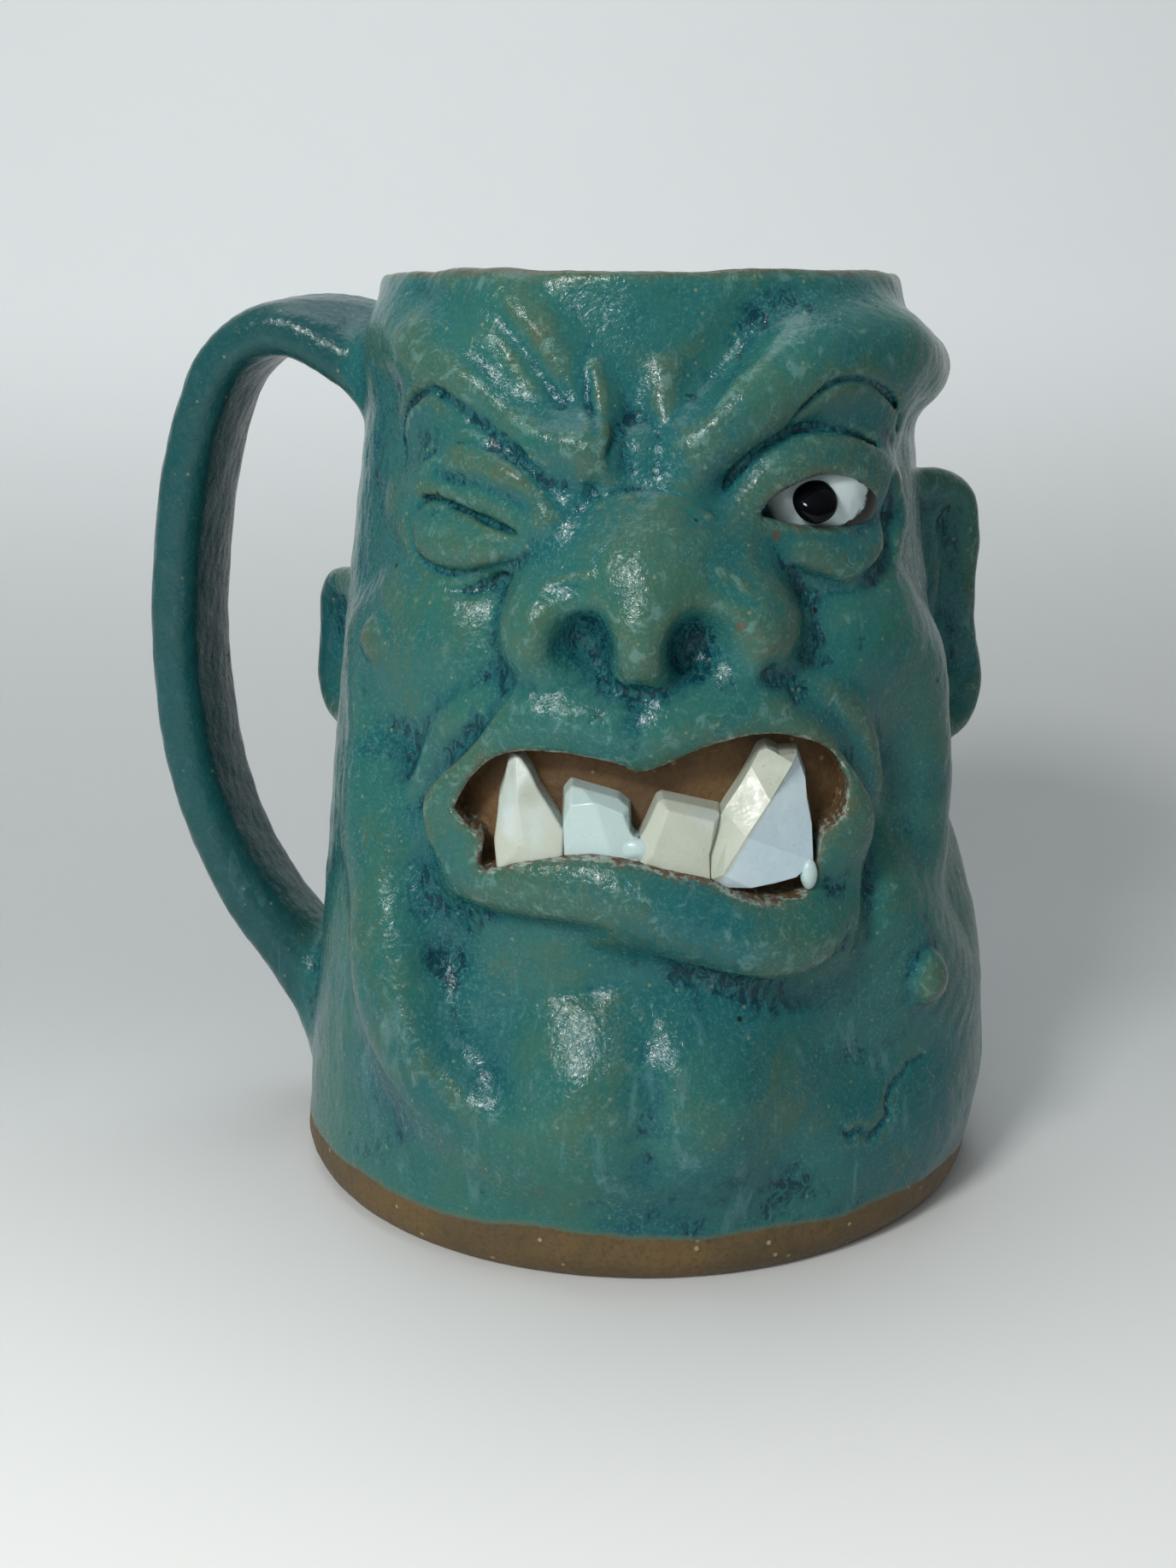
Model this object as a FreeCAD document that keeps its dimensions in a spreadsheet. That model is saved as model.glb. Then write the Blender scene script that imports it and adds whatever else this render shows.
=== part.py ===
"""A stoneware face mug: a thrown vessel with a pulled strap handle, two ears and a modelled ogre's face.

Every clay piece that the potter throws, pulls, rolls or presses on is its own solid. An applied piece is
trimmed by the vessel's outside and by the pieces under it, so that the clay meets face to face.
Units are millimetres. The origin is the middle of the foot, +Z is up, and the face looks along -Y.
A place on the wall is given by its angle from the front, positive towards +X, and its height.
"""

import math
import os

import FreeCAD
import Part
import Sketcher
from FreeCAD import Placement, Rotation, Vector

PARTS_FOLDER = "parts"
UP = Vector(0, 0, 1)

doc = FreeCAD.newDocument("face_mug")
sheet = doc.addObject("Spreadsheet::Sheet", "Dims")
cells = []
nodes = []
raw_forms = {}


# ---- spreadsheet ----------------------------------------------------------------------------------------

def dim(alias, value):
    """Stores one driving dimension and returns the expression that reads it."""
    cells.append(alias)
    address = f"B{len(cells)}"
    sheet.set(f"A{len(cells)}", alias.replace("_", " "))
    sheet.set(address, str(value))
    sheet.setAlias(address, alias)
    return f"Dims.{alias}"


def value(alias):
    return float(sheet.get(alias))


def wall_expression(height):
    """The expression for the vessel's outer radius at a height, which is itself an expression."""
    share = f"(({height}) - Dims.shoulder_height) / (Dims.mug_height - Dims.shoulder_height)"
    return (f"(Dims.shoulder_radius + (Dims.rim_radius - Dims.shoulder_radius) * {share}"
            f" + 4 * Dims.wall_bow * {share} * (1 - {share}))")


def wall_radius(height):
    """The same radius as a number."""
    share = (height - value("shoulder_height")) / (value("mug_height") - value("shoulder_height"))
    straight = value("shoulder_radius") + (value("rim_radius") - value("shoulder_radius")) * share
    return straight + 4 * value("wall_bow") * share * (1 - share)


# ---- places on the wall ---------------------------------------------------------------------------------

def on_wall(angle, height, proud):
    """The point that stands proud of the wall at an angle and a height."""
    radius = wall_radius(height) + proud
    turn = math.radians(angle)
    return Vector(radius * math.sin(turn), -radius * math.cos(turn), height)


def bind_to_wall(thing, angle, height, proud):
    """Binds an object's position to a place on the wall, from the names of three cells."""
    radius = f"({wall_expression('Dims.' + height)} + Dims.{proud})"
    thing.setExpression("Placement.Base.x", f"{radius} * sin(Dims.{angle})")
    thing.setExpression("Placement.Base.y", f"-{radius} * cos(Dims.{angle})")
    thing.setExpression("Placement.Base.z", f"Dims.{height}")


def wall_turn(angle, tilt=0.0):
    """Local X along the wall, local Y into it, local Z up, then tilted in the wall's plane."""
    return Rotation(UP, angle) * Rotation(Vector(0, 1, 0), tilt)


# ---- building blocks ------------------------------------------------------------------------------------

def pad(name, angle, height, half_width, half_height, proud, tilt=0.0, sink=0.0):
    """A flattened ball of clay pressed on the wall. Sink is how far its middle lies behind the surface.

    The ball's own X points into the wall, so that its seam is buried.
    """
    ball = doc.addObject("Part::Ellipsoid", name + "_ball")
    dim(name + "_angle", angle)
    dim(name + "_height", height)
    dim(name + "_set_back", -sink)
    ball.setExpression("Radius1", dim(name + "_half_height", half_height))
    ball.setExpression("Radius2", dim(name + "_depth", proud + sink))
    ball.setExpression("Radius3", dim(name + "_half_width", half_width))
    ball.Placement = Placement(Vector(), wall_turn(angle, tilt) * Rotation(UP, 90))
    bind_to_wall(ball, name + "_angle", name + "_height", name + "_set_back")
    return ball


def button(name, angle, height, deep_radius, front_radius, foot, proud):
    """A round tapered plug that stands straight out of the wall, from the stand-off of its foot to its front."""
    dim(name + "_angle", angle)
    dim(name + "_height", height)
    dim(name + "_foot", foot)
    plug = doc.addObject("Part::Cone", name + "_plug")
    plug.setExpression("Radius1", dim(name + "_deep_radius", deep_radius))
    plug.setExpression("Radius2", dim(name + "_front_radius", front_radius))
    plug.setExpression("Height", f"{dim(name + '_proud', proud)} - Dims.{name}_foot")
    plug.Placement = Placement(Vector(), wall_turn(angle) * Rotation(Vector(1, 0, 0), 90))
    bind_to_wall(plug, name + "_angle", name + "_height", name + "_foot")
    return plug


def headings(points):
    """The direction of travel at each point of a path."""
    last = len(points) - 1
    return [(points[min(i + 1, last)] - points[max(i - 1, 0)]).normalize() for i in range(last + 1)]


def loft(name, sections):
    body = doc.addObject("Part::Loft", name + "_loft")
    body.Sections = sections
    body.Solid = True
    body.Ruled = False
    return body


def coil(name, stations):
    """A roll of clay laid along the wall. A station is its angle, height, middle's stand-off and radius."""
    points = [on_wall(angle, height, proud) for angle, height, proud, radius in stations]
    sections = []
    for i, (station, heading) in enumerate(zip(stations, headings(points))):
        circle = doc.addObject("Part::Circle", f"{name}_section_{i}")
        keys = [f"{name}_{word}_{i}" for word in ("angle", "height", "proud", "radius")]
        for key, number in zip(keys, station):
            dim(key, number)
        circle.setExpression("Radius", "Dims." + keys[3])
        outward = Vector(points[i].x, points[i].y, 0)
        circle.Placement = Placement(Vector(), Rotation(outward, Vector(), heading, "ZXY"))
        bind_to_wall(circle, *keys[:3])
        sections.append(circle)
    return loft(name, sections)


def strap(name, stations):
    """A flat strap. A station is its middle, the way it runs, the way its width lies, and its half sizes."""
    sections = []
    for i, (middle, heading, across, half_width, half_thick) in enumerate(stations):
        oval = doc.addObject("Part::Ellipse", f"{name}_section_{i}")
        oval.setExpression("MajorRadius", dim(f"{name}_half_width_{i}", half_width))
        oval.setExpression("MinorRadius", dim(f"{name}_half_thickness_{i}", half_thick))
        oval.Placement = Placement(middle, Rotation(across, Vector(), heading, "ZXY"))
        sections.append(oval)
    return loft(name, sections)


def node(label, raw, *under):
    """Trims a raw piece by the raw form of each piece under it, and files the result as a node."""
    shape = raw
    for i, tool in enumerate(under):
        cut = doc.addObject("Part::Cut", f"{label}_trim_{i}")
        cut.Base = shape
        cut.Tool = raw_forms.get(tool.Label, tool)
        cut.Refine = False
        shape = cut
    shape.Label = label
    raw_forms[label] = raw
    nodes.append(shape)
    return shape


def origin_plane(body, role):
    return next(f for f in body.Origin.OriginFeatures if f.Role == role)


# ---- the vessel -----------------------------------------------------------------------------------------

def bowed_arc(low, high, bow):
    """An arc from a low point to a high one, whose middle swells to +X by the bow."""
    chord = high - low
    radius = (chord.Length ** 2 / 4 + bow ** 2) / (2 * bow)
    inward = Vector(-chord.y, chord.x, 0).normalize()
    centre = (low + high) * 0.5 + inward * (radius - bow)
    first = math.atan2(low.y - centre.y, low.x - centre.x)
    last = math.atan2(high.y - centre.y, high.x - centre.x)
    return Part.ArcOfCircle(Part.Circle(centre, UP, radius), first, last)


def vessel_dims():
    dim("mug_height", 140)
    dim("foot_radius", 52.4)
    dim("shoulder_radius", 54.6)
    dim("shoulder_height", 4)
    dim("rim_radius", 38.9)
    dim("wall_bow", 0.8)
    dim("wall_thickness", 5)
    dim("rim_thickness", 3.4)
    dim("floor_thickness", 7)
    dim("inside_corner", 9)
    dim("rim_edge", 1.2)
    doc.recompute()


def vessel():
    """The thrown pot: a bowed cone with a chamfered foot, a flat rim and a rounded inside corner."""
    body = doc.addObject("PartDesign::Body", "mug_body")
    sketch = body.newObject("Sketcher::SketchObject", "mug_body_profile")
    sketch.AttachmentSupport = (origin_plane(body, "XZ_Plane"), [""])
    sketch.MapMode = "FlatFace"

    height, floor = value("mug_height"), value("floor_thickness")
    rim, mouth = value("rim_radius"), value("rim_radius") - value("rim_thickness")
    inside = value("shoulder_radius") - value("wall_thickness")
    corners = [
        (0, 0, None, None),
        (value("foot_radius"), 0, "Dims.foot_radius", None),
        (value("shoulder_radius"), value("shoulder_height"), "Dims.shoulder_radius", "Dims.shoulder_height"),
        (rim, height, "Dims.rim_radius", "Dims.mug_height"),
        (mouth, height, "Dims.rim_radius - Dims.rim_thickness", "Dims.mug_height"),
        (inside, floor, "Dims.shoulder_radius - Dims.wall_thickness", "Dims.floor_thickness"),
        (0, floor, None, "Dims.floor_thickness"),
    ]
    points = [Vector(x, y, 0) for x, y, *rest in corners]
    outer_wall, inner_wall = 2, 4
    for i, point in enumerate(points):
        following = points[(i + 1) % len(points)]
        if i == outer_wall:
            edge = bowed_arc(point, following, value("wall_bow"))
        elif i == inner_wall:
            edge = bowed_arc(following, point, value("wall_bow"))
        else:
            edge = Part.LineSegment(point, following)
        sketch.addGeometry(edge, False)

    def end_marks(i):
        """The sketcher's numbers for an edge's two ends. The inner wall is drawn upwards, so it is swapped."""
        return (2, 1) if i == inner_wall else (1, 2)

    def constrain(*parts, expression=None):
        made = sketch.addConstraint(Sketcher.Constraint(*parts))
        if expression:
            sketch.setExpression(f"Constraints[{made}]", expression)

    for i in range(len(points)):
        following = (i + 1) % len(points)
        constrain("Coincident", i, end_marks(i)[1], following, end_marks(following)[0])
    constrain("Coincident", 0, 1, -1, 1)
    constrain("Horizontal", 0)
    constrain("Vertical", len(points) - 1)
    for i, (x, y, across, up) in enumerate(corners):
        if across:
            constrain("DistanceX", -1, 1, i, end_marks(i)[0], x, expression=across)
        if up:
            constrain("DistanceY", -1, 1, i, end_marks(i)[0], y, expression=up)
    for i in (outer_wall, inner_wall):
        run = f"(({corners[i][2]}) - ({corners[i + 1][2]}))"
        rise = f"(({corners[i][3]}) - ({corners[i + 1][3]}))"
        chord = f"({run} * {run} + {rise} * {rise})"
        constrain("Radius", i, sketch.Geometry[i].Radius,
                  expression=f"({chord} / 4 + Dims.wall_bow * Dims.wall_bow) / (2 * Dims.wall_bow)")

    turned = body.newObject("PartDesign::Revolution", "mug_body_thrown")
    turned.Profile = sketch
    turned.ReferenceAxis = (sketch, ["V_Axis"])
    turned.Angle = 360
    sketch.Visibility = False
    doc.recompute()

    def round_edge(feature_name, base, radius_cell, radius, height):
        """Rounds the circular edges of one radius and height."""
        names = [f"Edge{n + 1}" for n, e in enumerate(base.Shape.Edges)
                 if isinstance(e.Curve, Part.Circle) and abs(e.Curve.Radius - radius) < 0.01
                 and abs(e.Curve.Center.z - height) < 0.01]
        fillet = body.newObject("PartDesign::Fillet", feature_name)
        fillet.Base = (base, names)
        fillet.setExpression("Radius", "Dims." + radius_cell)
        doc.recompute()
        return fillet

    corner = round_edge("mug_body_inside_corner", turned, "inside_corner", inside, floor)
    lip = round_edge("mug_body_rim_outside", corner, "rim_edge", rim, height)
    round_edge("mug_body_rim_inside", lip, "rim_edge", rim - value("rim_thickness"), height)
    return node("mug_body", body)


def outside_of(pot):
    """The vessel with its cavity filled, which trims whatever is pressed on its outside."""
    plug = doc.addObject("Part::Cone", "cavity_plug")
    plug.setExpression("Radius1", "Dims.shoulder_radius - Dims.wall_thickness / 2")
    plug.setExpression("Radius2", "Dims.rim_radius - Dims.rim_thickness / 2")
    plug.setExpression("Height", "Dims.mug_height - 2 * Dims.rim_edge")
    plug.setExpression("Placement.Base.z", "Dims.rim_edge")
    filled = doc.addObject("Part::Fuse", "vessel_outside")
    filled.Base = pot
    filled.Tool = plug
    doc.recompute()
    return filled


# ---- handle and ears ------------------------------------------------------------------------------------

def handle(outside):
    """A pulled strap at the left, a little to the back. Its top end is twisted, the front edge down."""
    back = math.radians(value("handle_turn_back"))
    out = Vector(-math.cos(back), math.sin(back), 0)
    across = Vector(math.sin(back), math.cos(back), 0)
    stations = [
        # distance from the axis, height, half width, half thickness, twist
        (36.8, 125.0, 12.5, 6.8, 24),
        (46.5, 129.0, 11.0, 5.2, 18),
        (55.0, 131.2, 10.2, 4.7, 8),
        (64.0, 127.6, 9.9, 4.5, 0),
        (70.3, 117.5, 9.8, 4.5, 0),
        (74.2, 102.0, 9.7, 4.5, 0),
        (75.6, 84.0, 9.6, 4.5, 0),
        (74.6, 65.0, 9.5, 4.5, 0),
        (70.6, 49.0, 9.5, 4.6, 0),
        (64.0, 36.5, 9.7, 4.8, 0),
        (56.5, 27.5, 10.3, 5.6, 0),
        (48.5, 17.5, 11.5, 7.6, 0),
    ]
    middles = [out * reach + UP * height for reach, height, *rest in stations]
    placed = []
    for middle, heading, (_, _, half_width, half_thick, twist) in zip(middles, headings(middles), stations):
        turned = Rotation(heading, -twist).multVec(across)
        placed.append((middle, heading, turned, half_width, half_thick))
    return node("handle", strap("handle", placed), outside)


def ear(label, side, angle, lean, outline, outside):
    """A flap that stands off the side wall. The outline gives its reach and half thickness up its height."""
    turn = math.radians(lean)
    along = Vector(side * math.cos(turn), math.sin(turn), 0)
    placed = []
    for height, reach, half_thick in outline:
        root = on_wall(side * angle, height, -3.0)
        placed.append((root + along * (reach / 2), UP, along, reach / 2, half_thick))
    return node(label, strap(label, placed), outside)


# ---- the face -------------------------------------------------------------------------------------------

def tooth(label, angle, height, stand_off, outline, under):
    """A broken porcelain shard: a padded outline whose sides taper to the front, set into the gum."""
    body = doc.addObject("PartDesign::Body", label + "_body")
    sketch = body.newObject("Sketcher::SketchObject", label + "_outline")
    sketch.AttachmentSupport = (origin_plane(body, "XZ_Plane"), [""])
    sketch.MapMode = "FlatFace"
    points = [Vector(x, y, 0) for x, y in outline]
    for i, point in enumerate(points):
        sketch.addGeometry(Part.LineSegment(point, points[(i + 1) % len(points)]), False)
    for i in range(len(points)):
        following = (i + 1) % len(points)
        sketch.addConstraint(Sketcher.Constraint("Coincident", i, 2, following, 1))
    for i, point in enumerate(points):
        for kind, number in (("DistanceX", point.x), ("DistanceY", point.y)):
            made = sketch.addConstraint(Sketcher.Constraint(kind, -1, 1, i, 1, number))
            sketch.setExpression(f"Constraints[{made}]", dim(f"{label}_{kind[-1].lower()}_at_{i}", number))
    shard = body.newObject("PartDesign::Pad", label + "_shard")
    shard.Profile = sketch
    shard.setExpression("Length", "Dims.tooth_depth")
    shard.setExpression("TaperAngle", "Dims.tooth_taper")
    shard.Reversed = True
    lean_back = Rotation(Vector(1, 0, 0), value("tooth_lean"))
    body.Placement = Placement(on_wall(angle, height, stand_off), wall_turn(angle) * lean_back)
    sketch.Visibility = False
    return node(label, body, under)


def ears(outside):
    ear("ear_right", 1, 90, 60, [
        (65.0, 10.0, 1.4), (68.5, 16.0, 2.8), (75.0, 18.5, 3.4), (85.0, 17.5, 3.2),
        (95.0, 18.0, 3.0), (103.0, 19.5, 2.8), (107.5, 17.0, 2.2), (109.5, 11.0, 1.2)], outside)
    ear("ear_left", -1, 89, 66, [
        (66.7, 9.0, 1.4), (70.5, 13.5, 2.8), (77.0, 15.5, 3.2), (84.0, 15.0, 3.0),
        (90.0, 14.5, 2.4), (94.0, 9.0, 1.2)], outside)


def mouth(outside):
    """The bare clay bed, four shards standing in it, and the two lips round it."""
    teeth = [tooth(label, angle, height, stand_off, outline, outside)
             for label, angle, height, stand_off, outline in (
                 ("tusk_left", -16.0, 62.5, 5.2, [
                     (-4.6, -3.0), (4.6, -2.0), (4.2, 2.5), (1.2, 8.8), (-1.8, 14.2), (-3.2, 13.8), (-4.6, 8.0)]),
                 ("incisor_left", -5.4, 63.0, 5.4, [
                     (-3.9, -3.0), (4.0, -3.0), (4.3, 7.0), (0.8, 8.8), (-3.6, 9.4), (-4.4, 5.0)]),
                 ("incisor_right", 6.4, 61.6, 5.6, [
                     (-5.0, -3.0), (3.8, -4.0), (4.4, 7.4), (-3.0, 9.2)]),
                 ("tusk_right", 18.5, 60.0, 6.0, [
                     (-7.6, -2.0), (6.0, -3.0), (6.4, 2.0), (5.2, 10.5), (3.6, 16.8), (-2.2, 17.4), (-7.0, 8.0)]))]
    gum = node("gum_bed", pad("gum_bed", 3.5, 68.5, 27.5, 13.0, 3.2, 6), outside, *teeth)
    under = (outside, gum, *teeth)
    upper_lip = node("upper_lip", coil("upper_lip", [
        (-28.5, 63.5, 1.0, 2.4), (-28.5, 70.0, 2.4, 3.4), (-22.5, 78.6, 3.6, 4.2), (-11.5, 81.6, 4.4, 4.6),
        (0.5, 80.0, 5.0, 4.9), (12.0, 83.2, 4.4, 4.4), (23.5, 82.2, 3.6, 4.0), (32.0, 76.0, 2.6, 3.2),
        (34.0, 69.0, 1.6, 2.8), (31.5, 63.0, 1.0, 2.2)]), *under)
    lower_lip = node("lower_lip", coil("lower_lip", [
        (-27.0, 57.6, 0.8, 2.4), (-20.0, 56.8, 3.0, 4.4), (-9.0, 57.6, 4.2, 5.2), (2.0, 57.0, 4.6, 5.4),
        (12.0, 54.4, 4.4, 5.2), (21.5, 52.0, 3.8, 4.8), (28.5, 51.6, 2.4, 3.6), (32.5, 52.6, 0.8, 1.8)]),
        *under)
    return upper_lip, lower_lip


def nose(outside, upper_lip):
    """The bridge and tip as one roll, and a pierced wing on each side."""
    bridge = node("nose", coil("nose", [
        (0.8, 111.5, -1.0, 4.2), (1.0, 107.0, 1.6, 6.4), (1.0, 101.0, 4.8, 8.4), (1.0, 95.5, 7.4, 8.2),
        (0.9, 91.0, 8.4, 6.6), (0.7, 88.0, 8.0, 4.2)]), outside, upper_lip)
    wings = []
    for label, angle, height, half_width, half_height in (
            ("nostril_left", -12.2, 93.2, 8.0, 8.2), ("nostril_right", 13.8, 94.8, 9.2, 9.0)):
        wing = pad(label, angle, height, half_width, half_height, 10.5)
        hole = pad(label + "_hole", angle - math.copysign(2.8, angle), height - 0.4, 3.3, 4.0, 13.5, sink=-9.0)
        wings.append(node(label, wing, outside, bridge, upper_lip, hole))
    return bridge, wings


def brows(outside, bridge):
    """The two brows, the folds and the knob that the frown pushes up between them."""
    right = node("brow_right", coil("brow_right", [
        (6.5, 111.5, 1.0, 2.6), (9.0, 116.0, 2.4, 3.8), (14.5, 122.0, 3.6, 4.6), (24.0, 127.6, 4.0, 4.9),
        (35.0, 130.0, 3.8, 5.0), (47.0, 129.6, 3.2, 5.0), (60.0, 127.6, 2.2, 5.0), (73.0, 126.4, 1.4, 4.8),
        (84.0, 126.0, 0.4, 4.0), (92.0, 125.8, -1.5, 2.6)]), outside, bridge)
    left = node("brow_left", coil("brow_left", [
        (-6.0, 112.0, 1.2, 2.8), (-8.5, 116.6, 2.6, 4.2), (-15.0, 119.6, 3.2, 4.4), (-23.0, 122.8, 3.2, 4.2),
        (-33.0, 126.6, 2.4, 4.0), (-45.0, 129.4, 1.0, 3.8), (-56.0, 130.2, -1.0, 3.2)]), outside, bridge)
    under = (outside, left, right)
    fold_outer = node("frown_fold_outer", coil("frown_fold_outer", [
        (-31.5, 136.6, -1.0, 1.8), (-25.5, 132.4, 0.4, 2.6), (-19.5, 127.4, 0.8, 2.8),
        (-14.0, 123.8, 0.6, 2.2)]), *under)
    node("frown_fold_inner", coil("frown_fold_inner", [
        (-23.0, 136.8, -1.0, 1.6), (-17.6, 132.4, 0.2, 2.3), (-12.2, 127.0, 0.6, 2.4),
        (-8.2, 122.6, 0.4, 1.8)]), *under, fold_outer)
    node("brow_knob", pad("brow_knob", 0.2, 115.6, 3.4, 4.4, 4.6), *under, bridge)
    return left, right


def winking_eye(outside, brow, nose_parts):
    upper = node("wink_upper_lid", coil("wink_upper_lid", [
        (-44.0, 108.6, -0.8, 1.8), (-37.0, 111.2, 0.8, 3.2), (-28.0, 112.4, 1.8, 3.8), (-20.0, 110.6, 2.2, 3.6),
        (-13.6, 107.0, 1.6, 2.4)]), outside, brow, nose_parts[0])
    return node("wink_lower_lid", coil("wink_lower_lid", [
        (-42.0, 105.2, -0.8, 2.4), (-34.5, 104.2, 1.0, 4.0), (-25.5, 103.2, 1.8, 4.2), (-17.5, 103.4, 1.6, 2.8),
        (-12.6, 104.4, 0.8, 1.4)]), outside, upper, *nose_parts)


def open_eye(outside, brow, wing):
    pupil = node("pupil", button("pupil", 28.5, 109.9, 3.8, 3.2, 1.5, 6.4))
    ball = node("eyeball", pad("eyeball", 32.5, 109.6, 9.4, 6.6, 5.6), outside, brow, pupil)
    upper = node("open_upper_lid", coil("open_upper_lid", [
        (14.6, 107.6, 0.4, 2.2), (19.0, 112.6, 2.4, 3.0), (26.0, 116.6, 3.0, 3.3), (34.0, 117.2, 3.0, 3.3),
        (43.0, 114.8, 2.2, 3.0), (50.0, 110.4, 0.8, 2.2), (53.0, 106.6, -0.6, 1.4)]),
        outside, brow, ball, pupil)
    return node("open_lower_lid", coil("open_lower_lid", [
        (17.8, 104.6, 0.4, 2.0), (23.5, 102.4, 2.0, 3.2), (31.0, 101.0, 2.4, 3.7), (40.0, 100.8, 2.0, 3.5),
        (46.5, 102.0, 1.0, 2.6), (50.5, 103.2, -0.3, 1.5)]), outside, upper, ball, wing)


def lower_face(outside, lips, lower_lids, wings):
    """Cheeks, chin, the jaw's fold and jowl, and two small lumps."""
    face = (outside, *lips)
    cheek = node("cheek_left", pad("cheek_left", -38.5, 88.5, 11.5, 9.6, 4.2), *face, lower_lids[0], *wings)
    node("cheek_right", pad("cheek_right", 40.0, 87.0, 12.5, 10.0, 4.4), *face, lower_lids[1], *wings)
    chin = node("chin_left", pad("chin_left", -7.0, 33.0, 9.5, 12.0, 4.6), *face)
    node("chin_right", pad("chin_right", 11.0, 34.0, 9.5, 11.5, 4.6), *face, chin)
    node("jaw_fold_left", coil("jaw_fold_left", [
        (-42.0, 62.0, -1.6, 2.4), (-42.0, 54.0, -0.4, 3.8), (-41.5, 44.5, 0.2, 4.4), (-36.5, 36.5, 0.6, 4.6),
        (-29.0, 28.8, 0.2, 4.2), (-20.0, 23.4, -1.2, 2.6)]), *face, chin)
    jowl = node("jowl_right", pad("jowl_right", 72.0, 37.0, 15.0, 19.0, 3.8), *face)
    node("wart_cheek", pad("wart_cheek", -53.0, 88.8, 2.6, 2.6, 3.5), outside, cheek)
    node("wart_jaw", pad("wart_jaw", 55.5, 38.6, 3.0, 3.0, 3.9), outside, jowl)


def build():
    vessel_dims()
    outside = outside_of(vessel())
    dim("handle_turn_back", 10)
    dim("tooth_depth", 5.5)
    dim("tooth_taper", 7)
    dim("tooth_lean", 4)
    doc.recompute()
    handle(outside)
    ears(outside)
    lips = mouth(outside)
    bridge, wings = nose(outside, lips[0])
    brow_left, brow_right = brows(outside, bridge)
    lower_lids = (winking_eye(outside, brow_left, (bridge, *wings)), open_eye(outside, brow_right, wings[1]))
    lower_face(outside, lips, lower_lids, wings)


def check_and_write():
    """Stops on any failed object or bad shape, then writes one STEP file per node."""
    doc.recompute()
    failed = [o.Label for o in doc.Objects if "Invalid" in o.State or "Error" in o.State]
    if failed:
        raise RuntimeError(f"these objects failed: {failed}")
    os.makedirs(PARTS_FOLDER, exist_ok=True)
    for old in os.listdir(PARTS_FOLDER):
        os.remove(os.path.join(PARTS_FOLDER, old))
    for made in nodes:
        shape = made.Shape
        if shape.isNull() or not shape.isValid() or not shape.Solids:
            raise RuntimeError(f"{made.Label} has no valid solid")
        sizes = " ".join(f"{solid.Volume:.1f}" for solid in shape.Solids)
        print(f"{made.Label}: {len(shape.Solids)} solid, volume {sizes}")
        shape.exportStep(os.path.join(PARTS_FOLDER, made.Label + ".step"))


build()
check_and_write()
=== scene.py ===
"""The face mug's looks. Its clay is sculpted as one distance field, whose skin is cut into the named pieces.

Lengths in the sculpting part are millimetres; meshes are made in metres. Left and right are the viewer's.
"""
import math

import bmesh
import bpy
import numpy as np
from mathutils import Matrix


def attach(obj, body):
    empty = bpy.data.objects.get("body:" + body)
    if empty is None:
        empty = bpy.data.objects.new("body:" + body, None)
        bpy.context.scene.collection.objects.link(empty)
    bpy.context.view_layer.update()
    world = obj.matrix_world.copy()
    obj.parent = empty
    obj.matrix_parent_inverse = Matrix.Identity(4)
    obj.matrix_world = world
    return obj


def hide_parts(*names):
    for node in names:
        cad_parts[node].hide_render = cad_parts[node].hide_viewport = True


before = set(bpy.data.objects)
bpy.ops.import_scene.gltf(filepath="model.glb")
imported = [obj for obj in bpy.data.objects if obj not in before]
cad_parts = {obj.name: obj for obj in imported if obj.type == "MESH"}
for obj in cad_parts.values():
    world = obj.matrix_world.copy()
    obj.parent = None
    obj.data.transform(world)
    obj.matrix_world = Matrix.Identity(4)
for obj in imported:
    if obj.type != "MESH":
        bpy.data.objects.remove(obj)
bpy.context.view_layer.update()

import openvdb
from mathutils import Euler, Matrix, Vector

random = np.random.default_rng(7)
VOXEL = 0.5
LOW = np.array((-84.0, -67.0, -3.0))
HIGH = np.array((61.0, 59.0, 144.0))
HEIGHT = 140.0
FLOOR = 7.0                       # thickness of the cavity's floor
FAR, MARGIN, TINY = 9.0, 1.5, 1e-9
BACK_SINK, THINNEST = 0.7, 0.9    # how deep an applied piece's back lies under the wall, and what is left there
SENSOR, FOCAL = 36, 2150 / 1835   # the sensor's height in mm, and the focal length in picture heights
LOOK_DOWN, LOOK_LEFT = 14.72, 1.55

PIECES = [
    "mug_body", "handle", "ear_left", "ear_right", "upper_lip", "lower_lip", "gum_bed", "nose",
    "nostril_left", "nostril_right", "brow_left", "brow_right", "brow_knob", "frown_fold_outer",
    "frown_fold_inner", "wink_upper_lid", "wink_lower_lid", "open_upper_lid", "open_lower_lid",
    "cheek_left", "cheek_right", "chin_left", "chin_right", "jaw_fold_left", "jowl_right",
    "wart_cheek", "wart_jaw"]
OWNER = {name: i for i, name in enumerate(PIECES)}
WHOLE = ("handle", "ear_left", "ear_right")


# ---- places ---------------------------------------------------------------------------------------------

def wall(z):
    """The thrown wall's outer radius at a height, with the rounded bevel at the foot."""
    share = (np.clip(z, 4, HEIGHT) - 4) / (HEIGHT - 4)
    bevel = np.clip(1 - np.asarray(z) / 4, 0, 1)
    return 54.6 - 15.7 * share + 3.2 * share * (1 - share) - 2.2 * bevel ** 2


def inside_wall(z):
    """The cavity's radius at a height."""
    share = np.clip((z - FLOOR) / (HEIGHT - FLOOR), 0, 1.05)
    return 49.6 - 14.1 * share + 3.2 * share * (1 - share)


def front(x, z, proud=0.0):
    """The place on the front that stands proud of the wall, from its sideways position and height."""
    radius = float(wall(z)) + proud
    return np.array((x, -math.sqrt(radius * radius - x * x), z))


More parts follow.
